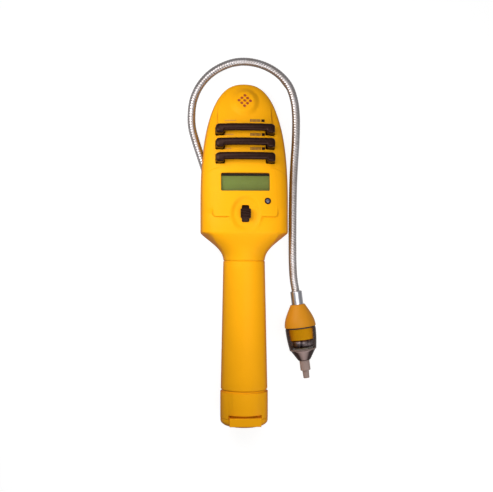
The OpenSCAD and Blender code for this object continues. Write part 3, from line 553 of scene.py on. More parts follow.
@dataclass(frozen=True)
class MetalFinish(Finish):
    """Metal with drawn lines along one direction, slow stains and, if reflection_streak is set, painted
    reflection streaks: dark lines in the stain colour.
    """

    stretch: tuple[float, float, float] = (1.0, 1.0, 14.0)
    line_mm: float = 0.6
    # Colour of the slow stains, and of the painted reflection streaks where they are set
    stain_and_reflection_colour: Colour = (0.22, 0.17, 0.13)
    stain_share: float = 0.25
    stain_scale: float = 90.0
    stain_span: Pair = (0.42, 0.7)
    reflection_streak: float = 0.0
    reflection_streak_span: Pair = (0.38, 0.62)
    uneven: float = 0.14

    def make(self) -> bpy.types.Material:
        """Builds the material."""
        material, n, shader, place = self.start()
        lines = group_node(n, Groups.scratches(), Place=place, Stretch=self.stretch,
                           Scale=1.0 / (self.line_mm * MM))
        slow = n.noise(place, self.stain_scale, detail=3.0)
        stain_and_streak_share = n.math("MULTIPLY", n.ramp(slow, *self.stain_span), self.stain_share)
        # Painted reflection: dark streaks along the lines stand in for streaky reflections of the
        # surroundings
        if self.reflection_streak:
            drawn = n.ramp(lines.outputs["Height"], *self.reflection_streak_span, 0.0, self.reflection_streak)
            stain_and_streak_share = n.math("MAXIMUM", stain_and_streak_share, drawn)
        n.put(shader, "Base Color", n.blend(stain_and_streak_share, opaque(self.colour), opaque(self.stain_and_reflection_colour)))
        n.put(shader, "Metallic", 1.0)
        rough = self.roughness + self.uneven
        n.put(shader, "Roughness", n.ramp(lines.outputs["Share"], 0.0, 1.0, self.roughness, rough))
        self.bump(n, shader, lines.outputs["Height"], strength=0.2, depth_mm=0.01)
        return material


@dataclass(frozen=True)
class ClearFinish(Finish):
    """Clear or smoked plastic: clear where it faces the eye, and darker at a glancing look.

    If set, a painted light core: a lighter colour in its middle, where it faces the eye, stands in for the
    lit part inside seen through it.
    """

    facing_alpha: float = 0.2
    edge_alpha: float = 0.8
    clear_to: float = 0.2
    dark_from: float = 0.8
    specular: float = 0.5
    light_through: float = 0.0
    painted_light_core: Optional[Colour] = None
    cloudy: float = 0.04
    cloud_scale: float = 220.0
    rougher: float = 0.08
    refraction: float = 1.49

    def make(self) -> bpy.types.Material:
        """Builds the material."""
        material, n, shader, place = self.start()
        cloud = n.noise(place, self.cloud_scale, detail=3.0)
        edge = n.ramp(n.facing(), self.clear_to, self.dark_from)
        alpha = n.math("ADD", n.ramp(edge, 0.0, 1.0, self.facing_alpha, self.edge_alpha),
                       n.math("MULTIPLY", n.math("SUBTRACT", cloud, 0.5), self.cloudy), clamp=True)
        lit = n.math("MULTIPLY", n.add("ShaderNodeLightPath").outputs["Is Shadow Ray"], self.light_through)
        n.put(shader, "Alpha", n.math("MULTIPLY", alpha, n.math("SUBTRACT", 1.0, lit)))
        # Painted light: the core colour lightens the middle where the surface faces the eye
        if self.painted_light_core:
            n.put(shader, "Base Color", n.blend(edge, opaque(self.painted_light_core), opaque(self.colour)))
        self.cloud_gloss(n, shader, cloud, self.rougher)
        n.put(shader, "IOR", self.refraction)
        n.put(shader, "Specular IOR Level", self.specular)
        return material


@dataclass(frozen=True)
class DisplayFinish(Finish):
    """Liquid crystal sheet: a fine dot pitch on a grey-green ground, greener to one side."""

    side_colour: Colour = (0.2, 0.25, 0.05)
    dot_colour: Colour = (0.05, 0.07, 0.02)
    dot_mm: float = 0.42
    dot_share: float = 0.10
    half_mm: float = 22.0
    cloud_scale: float = 400.0
    rougher: float = 0.1

    def make(self) -> bpy.types.Material:
        """Builds the material."""
        material, n, shader, place = self.start()
        across = n.ramp(n.split(place)["X"], -self.half_mm * MM, self.half_mm * MM)
        ground = n.blend(across, opaque(self.colour), opaque(self.side_colour))
        dots = n.ramp(n.math("MAXIMUM", *n.waves(place, self.dot_mm)), 0.8, 1.0, 0.0, self.dot_share)
        n.put(shader, "Base Color", n.blend(dots, ground, opaque(self.dot_colour)))
        self.cloud_gloss(n, shader, n.noise(place, self.cloud_scale), self.rougher)
        return material


@dataclass(frozen=True)
class WovenFinish(Finish):
    """Woven cloth: threads over and under along two directions."""

    dark: Colour = (0.10, 0.02, 0.01)
    thread_mm: float = 0.5

    def make(self) -> bpy.types.Material:
        """Builds the material."""
        material, n, shader, place = self.start()
        weave = n.math("MULTIPLY", *n.waves(place, self.thread_mm))
        n.put(shader, "Base Color", n.blend(n.ramp(weave, -1.0, 1.0), opaque(self.dark), opaque(self.colour)))
        self.bump(n, shader, weave, strength=0.6, depth_mm=0.1)
        return material


@dataclass(frozen=True)
class BoardFinish(Finish):
    """Circuit board: blocks of copper under green resist."""

    copper: Colour = (0.09, 0.32, 0.12)

    def make(self) -> bpy.types.Material:
        """Builds the material."""
        material, n, shader, place = self.start()
        bricks = n.add("ShaderNodeTexBrick")
        n.put(bricks, "Vector", place)
        n.put(bricks, "Scale", 260.0)
        n.put(bricks, "Mortar Size", 0.03)
        n.put(bricks, "Color1", opaque(self.colour))
        n.put(bricks, "Color2", (self.colour[0], self.colour[1] * 0.8, self.colour[2], 1.0))
        n.put(bricks, "Mortar", opaque(self.copper))
        n.put(shader, "Base Color", bricks.outputs["Color"])
        self.bump(n, shader, bricks.outputs["Fac"], strength=0.3, depth_mm=0.03)
        return material


# The yellow's edge colour is painted shade, a brown that darkens its steep flanks
YELLOW = MouldedFinish("yellow_moulded", (0.90, 0.385, 0.005), 0.42, 0.30, 0.014, 0.05, specular=0.05,
                       edge=(0.46, 0.09, 0.005))
YELLOW_CAP = MouldedFinish("yellow_turned", (0.60, 0.235, 0.012), 0.42, 0.25, 0.010, 0.05, specular=0.10)
BLACK = MouldedFinish("black_moulded", (0.014, 0.005, 0.0035), 0.28, 0.22, 0.012, 0.2, specular=0.21,
                      gloss=(1.0, 0.58, 0.48))
INK = MouldedFinish("brown_ink", (0.16, 0.07, 0.012), 0.55, 0.2, 0.005, 0.2)
FAINT_INK = MouldedFinish("faint_ink", (0.62, 0.24, 0.010), 0.5, 0.2, 0.005, 0.2)
# Dark ink of the end marks, also used for the display's top strip, which is partly painted shadow
DARK_INK_AND_SHADE = MouldedFinish("dark_ink_and_shade", (0.015, 0.007, 0.005), 0.55, 0.2, 0.005, 0.2, specular=0.1)
SEAL = MouldedFinish("seal_rubber", (0.03, 0.022, 0.018), 0.6, 0.18, 0.03, 0.2)
LENS = MouldedFinish("lens_blue", (0.07, 0.06, 0.09), 0.12, 0.4, 0.004, 0.2, coat=0.6)
CELL = MouldedFinish("cell_jacket", (0.05, 0.05, 0.06), 0.3, 0.8, 0.004, 0.3, coat=0.4)
LEAD_RED = MouldedFinish("lead_jacket", (0.40, 0.02, 0.015), 0.45, 0.2, 0.008, 0.1)
LEAD_BLACK = MouldedFinish("lead_black", (0.02, 0.02, 0.02), 0.45, 0.2, 0.008, 0.1)
FELT = MouldedFinish("filter_felt", (0.72, 0.70, 0.64), 0.9, 0.12, 0.08, 0.2, specular=0.1)
STEEL = MetalFinish("plated_steel", (0.60, 0.60, 0.62), 0.26)
SLEEVE = MetalFinish("sleeve_steel", (0.56, 0.56, 0.60), 0.30, (14.0, 1.0, 14.0))
WOUND = MetalFinish("wound_steel", (0.51, 0.475, 0.475), 0.30, (6.0, 6.0, 6.0), 0.5,
                    stain_and_reflection_colour=(0.30, 0.20, 0.13), stain_share=0.30)
# The can's dark streaks are painted reflections
CAN = MetalFinish("sensor_can_steel", (0.24, 0.19, 0.19), 0.40, (1.0, 0.04, 1.0), 2.6,
                  stain_and_reflection_colour=(0.035, 0.025, 0.030), stain_share=0.3, reflection_streak=0.95)
BRASS = MetalFinish("contact_brass", (0.72, 0.48, 0.17), 0.3)
WINDOW = ClearFinish("clear_window", (0.20, 0.23, 0.12), 0.06, 0.02, 0.35, specular=0.15)
COVER = ClearFinish("smoked_cover", (0.045, 0.022, 0.016), 0.10, 0.01, 0.97, clear_to=0.36, dark_from=0.58,
                    specular=0.12, light_through=0.95)
RING = ClearFinish("smoked_ring", (0.22, 0.16, 0.14), 0.22, 0.80, 0.97, specular=0.2)
# The taper's core colour is painted light, a lighter middle standing in for the lit nozzle inside
TAPER = ClearFinish("smoked_taper", (0.040, 0.024, 0.022), 0.30, 0.96, 0.99, clear_to=0.22, dark_from=0.36,
                    specular=0.08, painted_light_core=(0.44, 0.32, 0.30))
NOZZLE = ClearFinish("smoked_nozzle", (0.36, 0.26, 0.23), 0.22, 0.90, 0.98, specular=0.2)
DISPLAY = DisplayFinish("liquid_crystal", (0.132, 0.186, 0.012), 0.5, (0.124, 0.156, 0.012))
CLOTH = WovenFinish("grille_cloth", (0.58, 0.10, 0.025), 0.8, (0.24, 0.03, 0.01))
BOARD = BoardFinish("circuit_board", (0.015, 0.13, 0.05), 0.4)


@dataclass(frozen=True)
class Piece:
    """How a new object takes its place in the frame."""

    obj: bpy.types.Object
    finish: Finish
    slot: Slot

    def dress(self) -> bpy.types.Object:
        """Gives the object its only material."""
        self.obj.data.materials.clear()
        self.obj.data.materials.append(self.finish.material())
        self.obj.data.polygons.foreach_set("material_index", np.zeros(len(self.obj.data.polygons), np.int32))
        log.info("piece %s: %d faces, %s", self.obj.name, len(self.obj.data.polygons), self.finish.name)
        return self.obj

    def ride(self, body: Body, *nodes: str) -> bpy.types.Object:
        """Puts the piece on a body, in place of the named CAD nodes."""
        self.dress()
        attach(self.obj, body.value)
        if nodes:
            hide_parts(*nodes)
        return self.obj

    def bend(self, first: Body, second: Body, start: np.ndarray, end: np.ndarray,
             *nodes: str) -> bpy.types.Object:
        """Gives the piece its material, bakes it where it lies and hides the named CAD nodes."""
        self.dress()
        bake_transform(self.obj)
        if nodes:
            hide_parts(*nodes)
        return self.obj


# Head


@dataclass(frozen=True)
class HeadForm:
    """Outer form of the head: that of the parts, with finer relief on the face.

    A section across the head at y is a superellipse, half_w wide and front_h or back_h high. It flares out
    from the round neck and closes at the tip. The face carries a round swell, an oval dish, a raised panel
    and a low step beside the display, each added to its height.
    """

    axis_z: float = AXIS_Z
    half_width: float = HALF_WIDTH
    tip_y: float = 88.4
    crease_y: float = -49.0
    seam_y: float = -74.5
    widest_y: float = -26.0
    neck_r: float = 19.2
    face_h: float = 26.0
    back_h_full: float = 22.8
    sweep_r: float = 520.0
    wall: float = 2.4
    outline_n: float = 2.5
    front_n: float = 6.0
    back_n: float = 5.0
    section_n: float = 3.2
    flare_n: Pair = (1.3, 2.2)
    swell_y: float = 71.0
    swell_r: float = 14.2
    swell_h: float = 3.0
    swell_flat: float = 0.56
    swell_crown: float = 0.15
    dish_y: float = -31.8
    dish_size: Pair = (14.3, 17.2)
    dish_depth: float = 2.1
    dish_floor: float = 0.66
    panel_low_y: float = -34.6
    panel_low_w: float = 29.6
    panel_high_y: float = 58.0
    panel_high_w: float = 24.6
    panel_round: float = 3.2
    panel_low_h: float = 1.8
    panel_high_h: float = 2.7
    panel_least_h: float = 0.08
    panel_fade: float = 6.0
    panel_edge: Pair = (-0.4, 0.6)
    panel_low_end: Pair = (-32.5, -26.0)
    panel_high_start: Pair = (42.0, 50.0)
    panel_high_end: Pair = (58.0, 68.0)
    panel_tip_end: Pair = (70.0, 76.0)
    panel_dish_gap: Pair = (0.97, 1.14)
    hood_y: float = 9.5
    hood_fall: float = 5.5
    hood_x: float = 24.5
    hood_h: float = 0.4
    hood_fade: float = 7.0
    hood_edge: Pair = (-0.3, 0.3)
    hood_start: Pair = (22.0, 26.0)
    shoulder_len: float = 4.0
    shoulder_fall: float = 1.35
    # Where the facet's line starts, as a share of the width, and how far it moves out
    shoulder_inner: Pair = (0.64, 0.35)
    shoulder_depth: float = 0.98

    def tip_share(self, y: np.ndarray) -> np.ndarray:
        """Share of the way from the widest place to the tip."""
        return share(y, self.widest_y, self.tip_y)

    def flare(self, y: np.ndarray) -> np.ndarray:
        """1 on the head and 0 at the neck's seam."""
        inner, outer = self.flare_n
        return (1.0 - share(-np.asarray(y, float), -self.crease_y, -self.seam_y) ** inner) ** outer

    def closing(self, y: np.ndarray, power: float) -> np.ndarray:
        """Factor that closes the outline at the tip."""
        return (1.0 - self.tip_share(y) ** power) ** (1.0 / self.outline_n)

    def from_neck(self, full: np.ndarray, y: np.ndarray) -> np.ndarray:
        """A size of the head, drawn in to the neck's radius by the flare."""
        return self.neck_r + (full - self.neck_r) * self.flare(y)

    def half_w(self, y: np.ndarray) -> np.ndarray:
        """Half width of the head."""
        return self.from_neck(self.half_width * self.closing(y, self.outline_n), y)

    def front_h(self, y: np.ndarray) -> np.ndarray:
        """Height of the face above the parting plane."""
        swept = self.face_h - np.maximum(0.0, np.asarray(y, float) - self.crease_y) ** 2 / (2 * self.sweep_r)
        return self.from_neck(swept * self.closing(y, self.front_n), y)

    def back_h(self, y: np.ndarray) -> np.ndarray:
        """Depth of the back below the parting plane, before it is cut flat."""
        return self.from_neck(self.back_h_full * self.closing(y, self.back_n), y)

    def squareness(self, y: np.ndarray) -> np.ndarray:
        """Exponent of the section's superellipse."""
        return 2.0 + (self.section_n - 2.0) * self.flare(y) * (1.0 - self.tip_share(y) ** 4)

    def dish_share(self, x: np.ndarray, y: np.ndarray) -> np.ndarray:
        """Distance from the dish's middle, 1 at its edge."""
        return np.hypot(x / self.dish_size[0], (y - self.dish_y) / self.dish_size[1])

    def panel_drop(self, x: np.ndarray, y: np.ndarray) -> np.ndarray:
        """How far the skin falls away outside the raised panel.

        The panel's outline is a rectangle with round lower corners that narrows towards the tip. The skin
        steps down at its edge and comes back up some millimetres away. The step is high along the lower
        edge and beside the swell, and low between them.
        """
        upward = share(y, self.panel_low_y, self.panel_high_y)
        width = self.panel_low_w + (self.panel_high_w - self.panel_low_w) * upward
        aside = np.abs(x) - (width - self.panel_round)
        below = self.panel_low_y + self.panel_round - y
        outside = np.hypot(np.maximum(aside, 0), np.maximum(below, 0))
        outside = outside + np.minimum(np.maximum(aside, below), 0) - self.panel_round
        low = self.panel_low_h * (1 - smooth(y, *self.panel_low_end))
        high = self.panel_high_h * smooth(y, *self.panel_high_start) * (1 - smooth(y, *self.panel_high_end))
        height = low + high + self.panel_least_h
        step = smooth(outside, *self.panel_edge) * np.exp(-np.maximum(outside, 0) / self.panel_fade)
        clear_of_dish = smooth(self.dish_share(x, y), *self.panel_dish_gap)
        return height * step * clear_of_dish * (1 - smooth(y, *self.panel_tip_end))

    def hood_drop(self, x: np.ndarray, y: np.ndarray) -> np.ndarray:
        """Small step along a line that falls outward across each flank, beside the display's top."""
        above = y - (self.hood_y - self.hood_fall * smooth(np.abs(x), self.hood_x, self.half_width))
        step = smooth(above, *self.hood_edge) * np.exp(-np.maximum(above, 0) / self.hood_fade)
        return self.hood_h * step * smooth(np.abs(x), *self.hood_start)

    def relief(self, x: np.ndarray, y: np.ndarray) -> np.ndarray:
        """Height added to the face: the swell, less the dish and the falls beside panel and display."""
        away = np.hypot(x, y - self.swell_y) / self.swell_r
        crown = 1 - self.swell_crown * np.minimum(away, 1) ** 2
        swell = self.swell_h * (1 - smooth(away, self.swell_flat, 1.0)) * crown
        dish = self.dish_depth * (1 - smooth(self.dish_share(x, y), self.dish_floor, 1.0))
        return swell - dish - self.panel_drop(x, y) - self.hood_drop(x, y)

    def skin_z(self, x: np.ndarray, y: np.ndarray) -> np.ndarray:
        """Height of the face's skin, relief included."""
        n = self.squareness(y)
        body = self.front_h(y) * (1 - np.clip(np.abs(x) / self.half_w(y), 0, 1) ** n) ** (1 / n)
        return self.axis_z + body + self.relief(x, y)

    def tilt(self, y: float) -> float:
        """Lean of the face towards the tip, in radians."""
        return math.atan(float(self.front_h(y - 0.5) - self.front_h(y + 0.5)))

    def on_face(self, points: np.ndarray, y: float) -> np.ndarray:
        """Points given across, along and out of the face at y, as places in the frame."""
        lean = self.tilt(y)
        spin = np.array([[1, 0, 0],
                         [0, math.cos(lean), -math.sin(lean)],
                         [0, math.sin(lean), math.cos(lean)]])
        return np.asarray(points, float) @ spin + np.array([0, y, self.axis_z + float(self.front_h(y))])

    def above_face(self, plan: np.ndarray, y: float) -> np.ndarray:
        """Distance of the skin out of the flat face at y, under points given across and along it."""
        flat = self.on_face(raised(plan, 0.0), y)
        return (self.skin_z(flat[:, 0], flat[:, 1]) - flat[:, 2]) * math.cos(self.tilt(y))

    def shoulder(self, aside: np.ndarray, up: np.ndarray, y: np.ndarray) -> np.ndarray:
        """Height of a section with a facet on each shoulder, below the crease.

        The facet falls from a line on the face to the section's rim, a little faster towards the rim. The
        line starts at about two thirds of the width and meets the rim at the neck. Over the first
        millimetres the facet fades in.

        Args:
            aside: Share of the half width of each point.
            up: Share of the height of each point.
            y: Place of each point along the axis.

        Returns:
            The share of the height with the facets cut.
        """
        down = np.maximum(self.crease_y - y, 0.0)
        start, widening = self.shoulder_inner
        inner = start + widening * share(down, 0.0, self.crease_y - self.seam_y)
        facet = np.minimum(up, 1.0 - share(aside, inner, 1.0) ** self.shoulder_fall * self.shoulder_depth)
        return up + (facet - up) * share(down, 0.0, self.shoulder_len)

    def sections(self, y: np.ndarray, angle: np.ndarray, front: bool, wall: float = 0.0) -> np.ndarray:
        """Points on half sections of the head.

        Args:
            y: Place of each section.
            angle: Angle of each point round the axis, from one side over the face or back to the other.
            front: The face's half; otherwise the back's.
            wall: How far the section lies inside the skin.

        Returns:
            Points as sections by angles by 3.
        """
        at = y + np.where(y > self.widest_y, wall, -wall) if wall else y
        width = (self.half_w(at) - wall)[:, None]
        height = ((self.front_h(at) if front else self.back_h(at)) - wall)[:, None]
        n = self.squareness(at)[:, None]
        width, height = np.maximum(width, 0.01), np.maximum(height, 0.01)
        ring = ((np.abs(np.cos(angle)) / width) ** n + (np.abs(np.sin(angle)) / height) ** n) ** (-1 / n)
        x, up = ring * np.cos(angle), ring * np.sin(angle)
        along = np.broadcast_to(y[:, None], x.shape)
        if front:
            up = height * self.shoulder(np.abs(x) / width, up / height, along)
            return np.stack([x, along, self.axis_z + up + self.relief(x, along)], axis=-1)
        return np.stack([-x, along, self.axis_z - up], axis=-1)


@dataclass(frozen=True)
class Marks:
    """Places of the plain marks above a bar key, across the face and over the key's middle."""

    rise: float = 8.1
    dash_x: Pair = (-18.6, -8.0)
    dash_shorter: float = 2.5
    dash_half: float = 0.45
    tick_x: Pair = (4.6, 5.5)
    tick_step: float = 1.22
    tick_count: int = 8
    block_x: Pair = (14.9, 18.0)
    tall_half: float = 1.3
    ink_t: float = 0.03


@dataclass(frozen=True)
class OpeningEdge:
    """Edge of an opening in the face: the radius of its corners and the width of its chamfer."""

    corner: float
    chamfer: float


@dataclass
class Head:
    """The two shells of the head with what is set into the face."""

    form: HeadForm = field(default_factory=HeadForm)
    lcd_y: float = -3.0
    lcd_size: Pair = (44.0, 16.2)
    lcd_edge: OpeningEdge = OpeningEdge(1.2, 0.45)
    lcd_recess: float = 3.0
    # Height of the dark strip along the display's top: partly its border, partly painted shadow
    lcd_shade_strip: float = 2.9
    key_ys: tuple[float, float, float] = (45.0, 32.0, 19.0)
    key_leg_x: float = 22.7
    foot_size: Pair = (8.0, 8.6)
    foot_edge: OpeningEdge = OpeningEdge(1.2, 0.2)
    foot_drop: float = 1.8
    slide_fit: float = 0.3
    slot_size: Pair = (6.8, 15.4)
    slot_edge: OpeningEdge = OpeningEdge(1.4, 0.25)
    eye: Pair = (20.0, -20.5)
    eye_r: float = 2.3
    eye_fit: float = 0.05
    eye_chamfer: float = 0.3
    eye_ring_half: Pair = (0.55, 0.5)
    eye_ring_out: float = 0.1
    eye_ring_rise: float = 0.15
    hole_r: float = 1.4
    hole_chamfer: float = 0.16
    hole_pitch: float = 3.7
    hole_turn: float = 42.0
    cloth_r: float = 8.0
    cloth_fit: float = 0.2
    cloth_gap: float = 0.05
    cloth_t: float = 0.3
    grille_wall: float = 0.8
    screws: tuple[tuple[float, float], ...] = ((27, -39), (-27, -39), (19, 55), (-19, 55))
    screw_well_r: float = 2.95
    screw_seat_z: float = 8.0
    boss_r: float = 6.6
    boss_top_z: float = 30.0
    cut_depth: float = 12.0
    hole_depth: float = 9.0
    # Depth and width of the rounding along the parting and at the neck's seam
    parting_ease: Pair = (0.28, 0.55)
    seam_ease: Pair = (0.4, 0.45)
    seam_r: float = 19.0
    tip_fade: float = 6.0
    marks: Marks = Marks()
    root: tuple[float, float, float] = (-29.98, -8.0, 11.5)
    root_lean: float = 18.0
    root_far: float = 80.0
    channel_r: float = 5.2
    socket_r: float = 7.75

    def stations(self) -> np.ndarray:
        """Places of the sections: close together at edges and towards the tip."""
        near = np.array([0.0, 0.2, 0.5, 1.0]) + self.form.seam_y
        body = spaced((-72.6, -50.2, 18), (-49.4, -38.0, 14), (-37.6, -21.5, 38), (-20.8, 2.4, 22),
                      (2.9, 11.0, 18), (11.6, 43.5, 30), (44.0, 66.0, 44), (66.6, 77.6, 20))
        dome = 10.4
        tip = self.form.tip_y - dome + dome * np.sin(np.linspace(0.04, math.pi / 2, 18))
        return np.concatenate([near, body, tip])

    def angles(self, fine: bool) -> np.ndarray:
        """Angles of the points of a section, mirrored about the top."""
        fine_spans = ((0.012, 0.095, 10), (0.10, 0.25, 46), (0.256, 0.5, 36))
        spans = fine_spans if fine else ((0.012, 0.5, 46),)
        half = np.concatenate([[0, 0.0012, 0.0026, 0.005], spaced(*spans)])
        return math.pi * np.concatenate([half, 1 - half[-2::-1]])

    def outer(self, name: str, front: bool) -> bpy.types.Object:
        """Solid half of the head: sections lofted along the axis, eased in at the parting and the seam."""
        form = self.form
        y = self.stations()
        points = form.sections(y, self.angles(front), front)
        rise = points[..., 2] - form.axis_z
        (ease_depth, ease_w), (seam_depth, seam_w) = self.parting_ease, self.seam_ease
        ease = ease_depth * np.exp(-((np.abs(rise) / ease_w) ** 2))
        ease *= share(form.tip_y - points[..., 1], 0.0, self.tip_fade)
        seam = seam_depth * np.exp(-(((points[..., 1] - form.seam_y) / seam_w) ** 2))
        inward = (ease + seam) / np.maximum(np.hypot(points[..., 0], rise), 1.0)
        points[..., 0] *= 1 - inward
        points[..., 2] = form.axis_z + rise * (1 - seam / self.seam_r)
        if not front:
            points[..., 2] = np.maximum(points[..., 2], 0.0)
        return loft(name, points)

    def cavity(self, name: str, front: bool) -> bpy.types.Object:
        """Hollow of a half, carried a little past the parting plane."""
        form = self.form
        y = spaced((form.seam_y - 2, -50, 12), (-48, 76, 40), (78, 83.5, 8))
        angle = math.pi * np.linspace(0, 1, 33)
        points = form.sections(np.clip(y, form.seam_y, None), angle, front, form.wall)
        points[..., 1] = y[:, None]
        past = -1.0 if front else 1.0
        ends = points[:, [0, -1]] + np.array([0, 0, past])
        return loft(name, np.concatenate([ends[:, :1], points, ends[:, 1:]], axis=1))

    def cutter(self, name: str, outline: np.ndarray, y: float, chamfer: float,
               depth: Optional[float] = None) -> bpy.types.Object:
        """Cutter through the face that follows its skin, with a chamfer at the edge.

        Args:
            name: Name of the cutter.
            outline: Closed outline across and along the face, in order.
            y: Place of the flat face that the outline lies on.
            chamfer: Width of the chamfer.
            depth: How far it goes in, if not cut_depth.

        Returns:
            The cutter.
        """
        around = unit(np.roll(outline, -1, axis=0) - np.roll(outline, 1, axis=0))
        outward = np.stack([around[:, 1], -around[:, 0]], axis=1)
        wide, outside = outline + chamfer * outward, 6.0
        skin = self.form.above_face(outline, y)
        wide_skin = self.form.above_face(wide, y)
        rows = [raised(outline, -(depth or self.cut_depth)), raised(outline, skin - chamfer),
                raised(wide, wide_skin), raised(wide, np.maximum(wide_skin, 0) + outside)]
        return loft(name, np.stack([self.form.on_face(row, y) for row in rows]))

    def front_cutters(self) -> bpy.types.Object:
        """All that is cut out of the face, as one tool."""
        wide, long = (size + 2 * self.slide_fit for size in self.foot_size)
        lcd = rounded_rectangle(*self.lcd_size, self.lcd_edge.corner)
        slot = rounded_rectangle(*self.slot_size, self.slot_edge.corner)
        leg = rounded_rectangle(wide, long, self.foot_edge.corner)
        cut = [self.cutter("lcd_cut", lcd, self.lcd_y, self.lcd_edge.chamfer),
               self.cutter("slot_cut", slot, self.form.dish_y, self.slot_edge.chamfer)]
        for y in self.key_ys:
            for side in (-1, 1):
                outline = leg + np.array([side * self.key_leg_x, -self.foot_drop / 2])
                cut.append(self.cutter("leg_cut", outline, y, self.foot_edge.chamfer))
        around = full_turn(28)
        circle = np.stack([np.cos(around), np.sin(around)], axis=1)
        turn = math.radians(self.hole_turn)
        spin = np.array([[math.cos(turn), math.sin(turn)], [-math.sin(turn), math.cos(turn)]])
        for i in (-1, 0, 1):
            for j in (-1, 0, 1):
                hole = np.array([i, j]) * self.hole_pitch @ spin + circle * self.hole_r
                cut.append(self.cutter("hole_cut", hole, self.form.swell_y, self.hole_chamfer,
                                       self.hole_depth))
        bore_r = self.cloth_r + self.cloth_fit
        cut.append(self.disc("grille_bore", bore_r, -self.grille_wall, -self.cut_depth, flat=True))
        eye = np.array([self.eye[0], 0.0]) + circle * (self.eye_r + self.eye_fit)
        cut.append(self.cutter("eye_cut", eye, self.eye[1], self.eye_chamfer))
        return joined("front_cutters", cut)

    def disc(self, name: str, radius: float, high: float, low: float, flat: bool) -> bpy.types.Object:
        """Round plug behind the grille whose top follows the swell.

        Rings of points about the swell's middle. The top lies at a fixed distance from the skin. The floor
        is flat or follows the top.

        Args:
            name: Name of the plug.
            radius: Its radius.
            high: Height of its top over the skin.
            low: Height of its floor over the flat face, or over its top if it isn't flat.
            flat: Whether the floor is flat.

        Returns:
            The plug.
        """
        turn = full_turn(60)
        spread = np.linspace(0.02, 1.0, 9)[:, None] * radius
        plan = np.stack([spread * np.cos(turn), spread * np.sin(turn)], axis=-1)
        skin = self.form.above_face(plan.reshape(-1, 2), self.form.swell_y).reshape(plan.shape[:2])
        top = np.concatenate([plan, (skin + high)[..., None]], axis=-1)
        floor = top.copy()
        floor[..., 2] = low if flat else top[..., 2] + low
        rows = np.concatenate([top, floor[::-1]])
        return loft(name, self.form.on_face(rows.reshape(-1, 3), self.form.swell_y).reshape(rows.shape))

    def build_cloth(self) -> None:
        """Cloth close behind the grille's holes."""
        top = -self.grille_wall - self.cloth_gap
        cloth = self.disc("grille_cloth_sheet", self.cloth_r, top, -self.cloth_t, flat=False)
        Piece(cloth, CLOTH, Slot.CLOTH).ride(Body.HOUSING, "grille_cloth")

    def lcd_block(self) -> bpy.types.Object:
        """Solid round the display's opening, down to its window."""
        wider, corner, clear, high = 8.0, 2.0, 0.02, 3.0
        outline = rounded_rectangle(*(size + wider for size in self.lcd_size), corner)
        return self.slab("lcd_block", outline, -self.lcd_recess - clear, high)

    def slab(self, name: str, plan: np.ndarray, low: float, high: float) -> bpy.types.Object:
        """Plan across and along the face at the display, between two heights over it."""
        rows = [self.form.on_face(raised(plan, z), self.lcd_y) for z in (low, high)]
        return loft(name, np.stack(rows))

    def along_root(self, name: str, radius: float, start: float) -> bpy.types.Object:
        """Cylinder along the gooseneck's root, from a start to far outside the head."""
        lean = math.radians(self.root_lean)
        along = np.array([-math.sin(lean), math.cos(lean), 0.0])
        across = np.array([math.cos(lean), math.sin(lean), 0.0])
        ends = np.array(self.root) + along * np.array([[start], [self.root_far]])
        return loft(name, hoops(ends, radius, full_turn(48), across, UP))

    def build_front(self) -> None:
        """Front shell with its openings, and its finish."""
        hollow = without(self.cavity("front_cavity", True), self.lcd_block())
        shell = without(self.outer("front_shell_skin", True), hollow)
        shell = without(shell, self.front_cutters())
        Piece(shell, YELLOW, Slot.YELLOW).ride(Body.HOUSING, "front_shell")

    def build_rear(self) -> None:
        """Rear shell with its screw wells and the gooseneck's way in, and its finish."""
        socket = self.along_root("socket", self.socket_r, start=-5.0)
        hollow = without(self.cavity("rear_cavity", False), socket)
        bosses = [self.well("boss", x, y, self.boss_r, self.boss_top_z) for x, y in self.screws]
        hollow = without(hollow, joined("bosses", bosses))
        shell = without(self.outer("rear_shell_skin", False), hollow)
        tools = [self.along_root("channel", self.channel_r, start=-0.3)]
        tools += [self.well("well", x, y, self.screw_well_r, self.screw_seat_z) for x, y in self.screws]
        shell = without(shell, joined("rear_cutters", tools))
        Piece(shell, YELLOW, Slot.YELLOW).ride(Body.HOUSING, "rear_shell")

    @staticmethod
    def well(name: str, x: float, y: float, radius: float, high: float) -> bpy.types.Object:
        """Upright cylinder from below the back up to a height."""
        below = -2.0
        ends = np.array([[x, y, below], [x, y, high]])
        return loft(name, hoops(ends, radius, full_turn(40), ACROSS, AHEAD))

    def patch(self, name: str, x: Pair, y: Pair) -> bpy.types.Object:
        """Thin film of ink on the face between two places across and along it.

        Points of a grid in X and Y, a little over the skin, with the same grid as far under it.
        """
        across, along = np.meshgrid(np.linspace(*x, 13), np.linspace(*y, 5))
        top = np.stack([across, along, self.form.skin_z(across, along) + self.marks.ink_t], axis=-1)
        under = top - np.array([0, 0, 2 * self.marks.ink_t])
        return loft(name, np.concatenate([top, under[:, ::-1]], axis=1))

    def build_marks(self) -> None:
        """Plain dashes and graded ticks above the bar keys, with no lettering."""
        marks = self.marks
        steps = [marks.tick_step * i for i in range(marks.tick_count)]
        for key, (y, label) in enumerate(zip(self.key_ys, ("upper", "middle", "lower"))):
            at = y + marks.rise
            thin, tall = ((at - half, at + half) for half in (marks.dash_half, marks.tall_half))
            dash_x = (marks.dash_x[0], marks.dash_x[1] - marks.dash_shorter * key)
            dash = self.patch(f"{label}_dash_mark", dash_x, thin)
            Piece(dash, FAINT_INK, Slot.BLACK).ride(Body.HOUSING)
            ticks = [self.patch("tick", tuple(x + step for x in marks.tick_x), tall) for step in steps]
            Piece(joined(f"{label}_scale_mark", ticks), INK, Slot.BLACK).ride(Body.HOUSING)
            block = self.patch(f"{label}_end_mark", marks.block_x, tall)
            Piece(block, DARK_INK_AND_SHADE, Slot.BLACK).ride(Body.HOUSING)

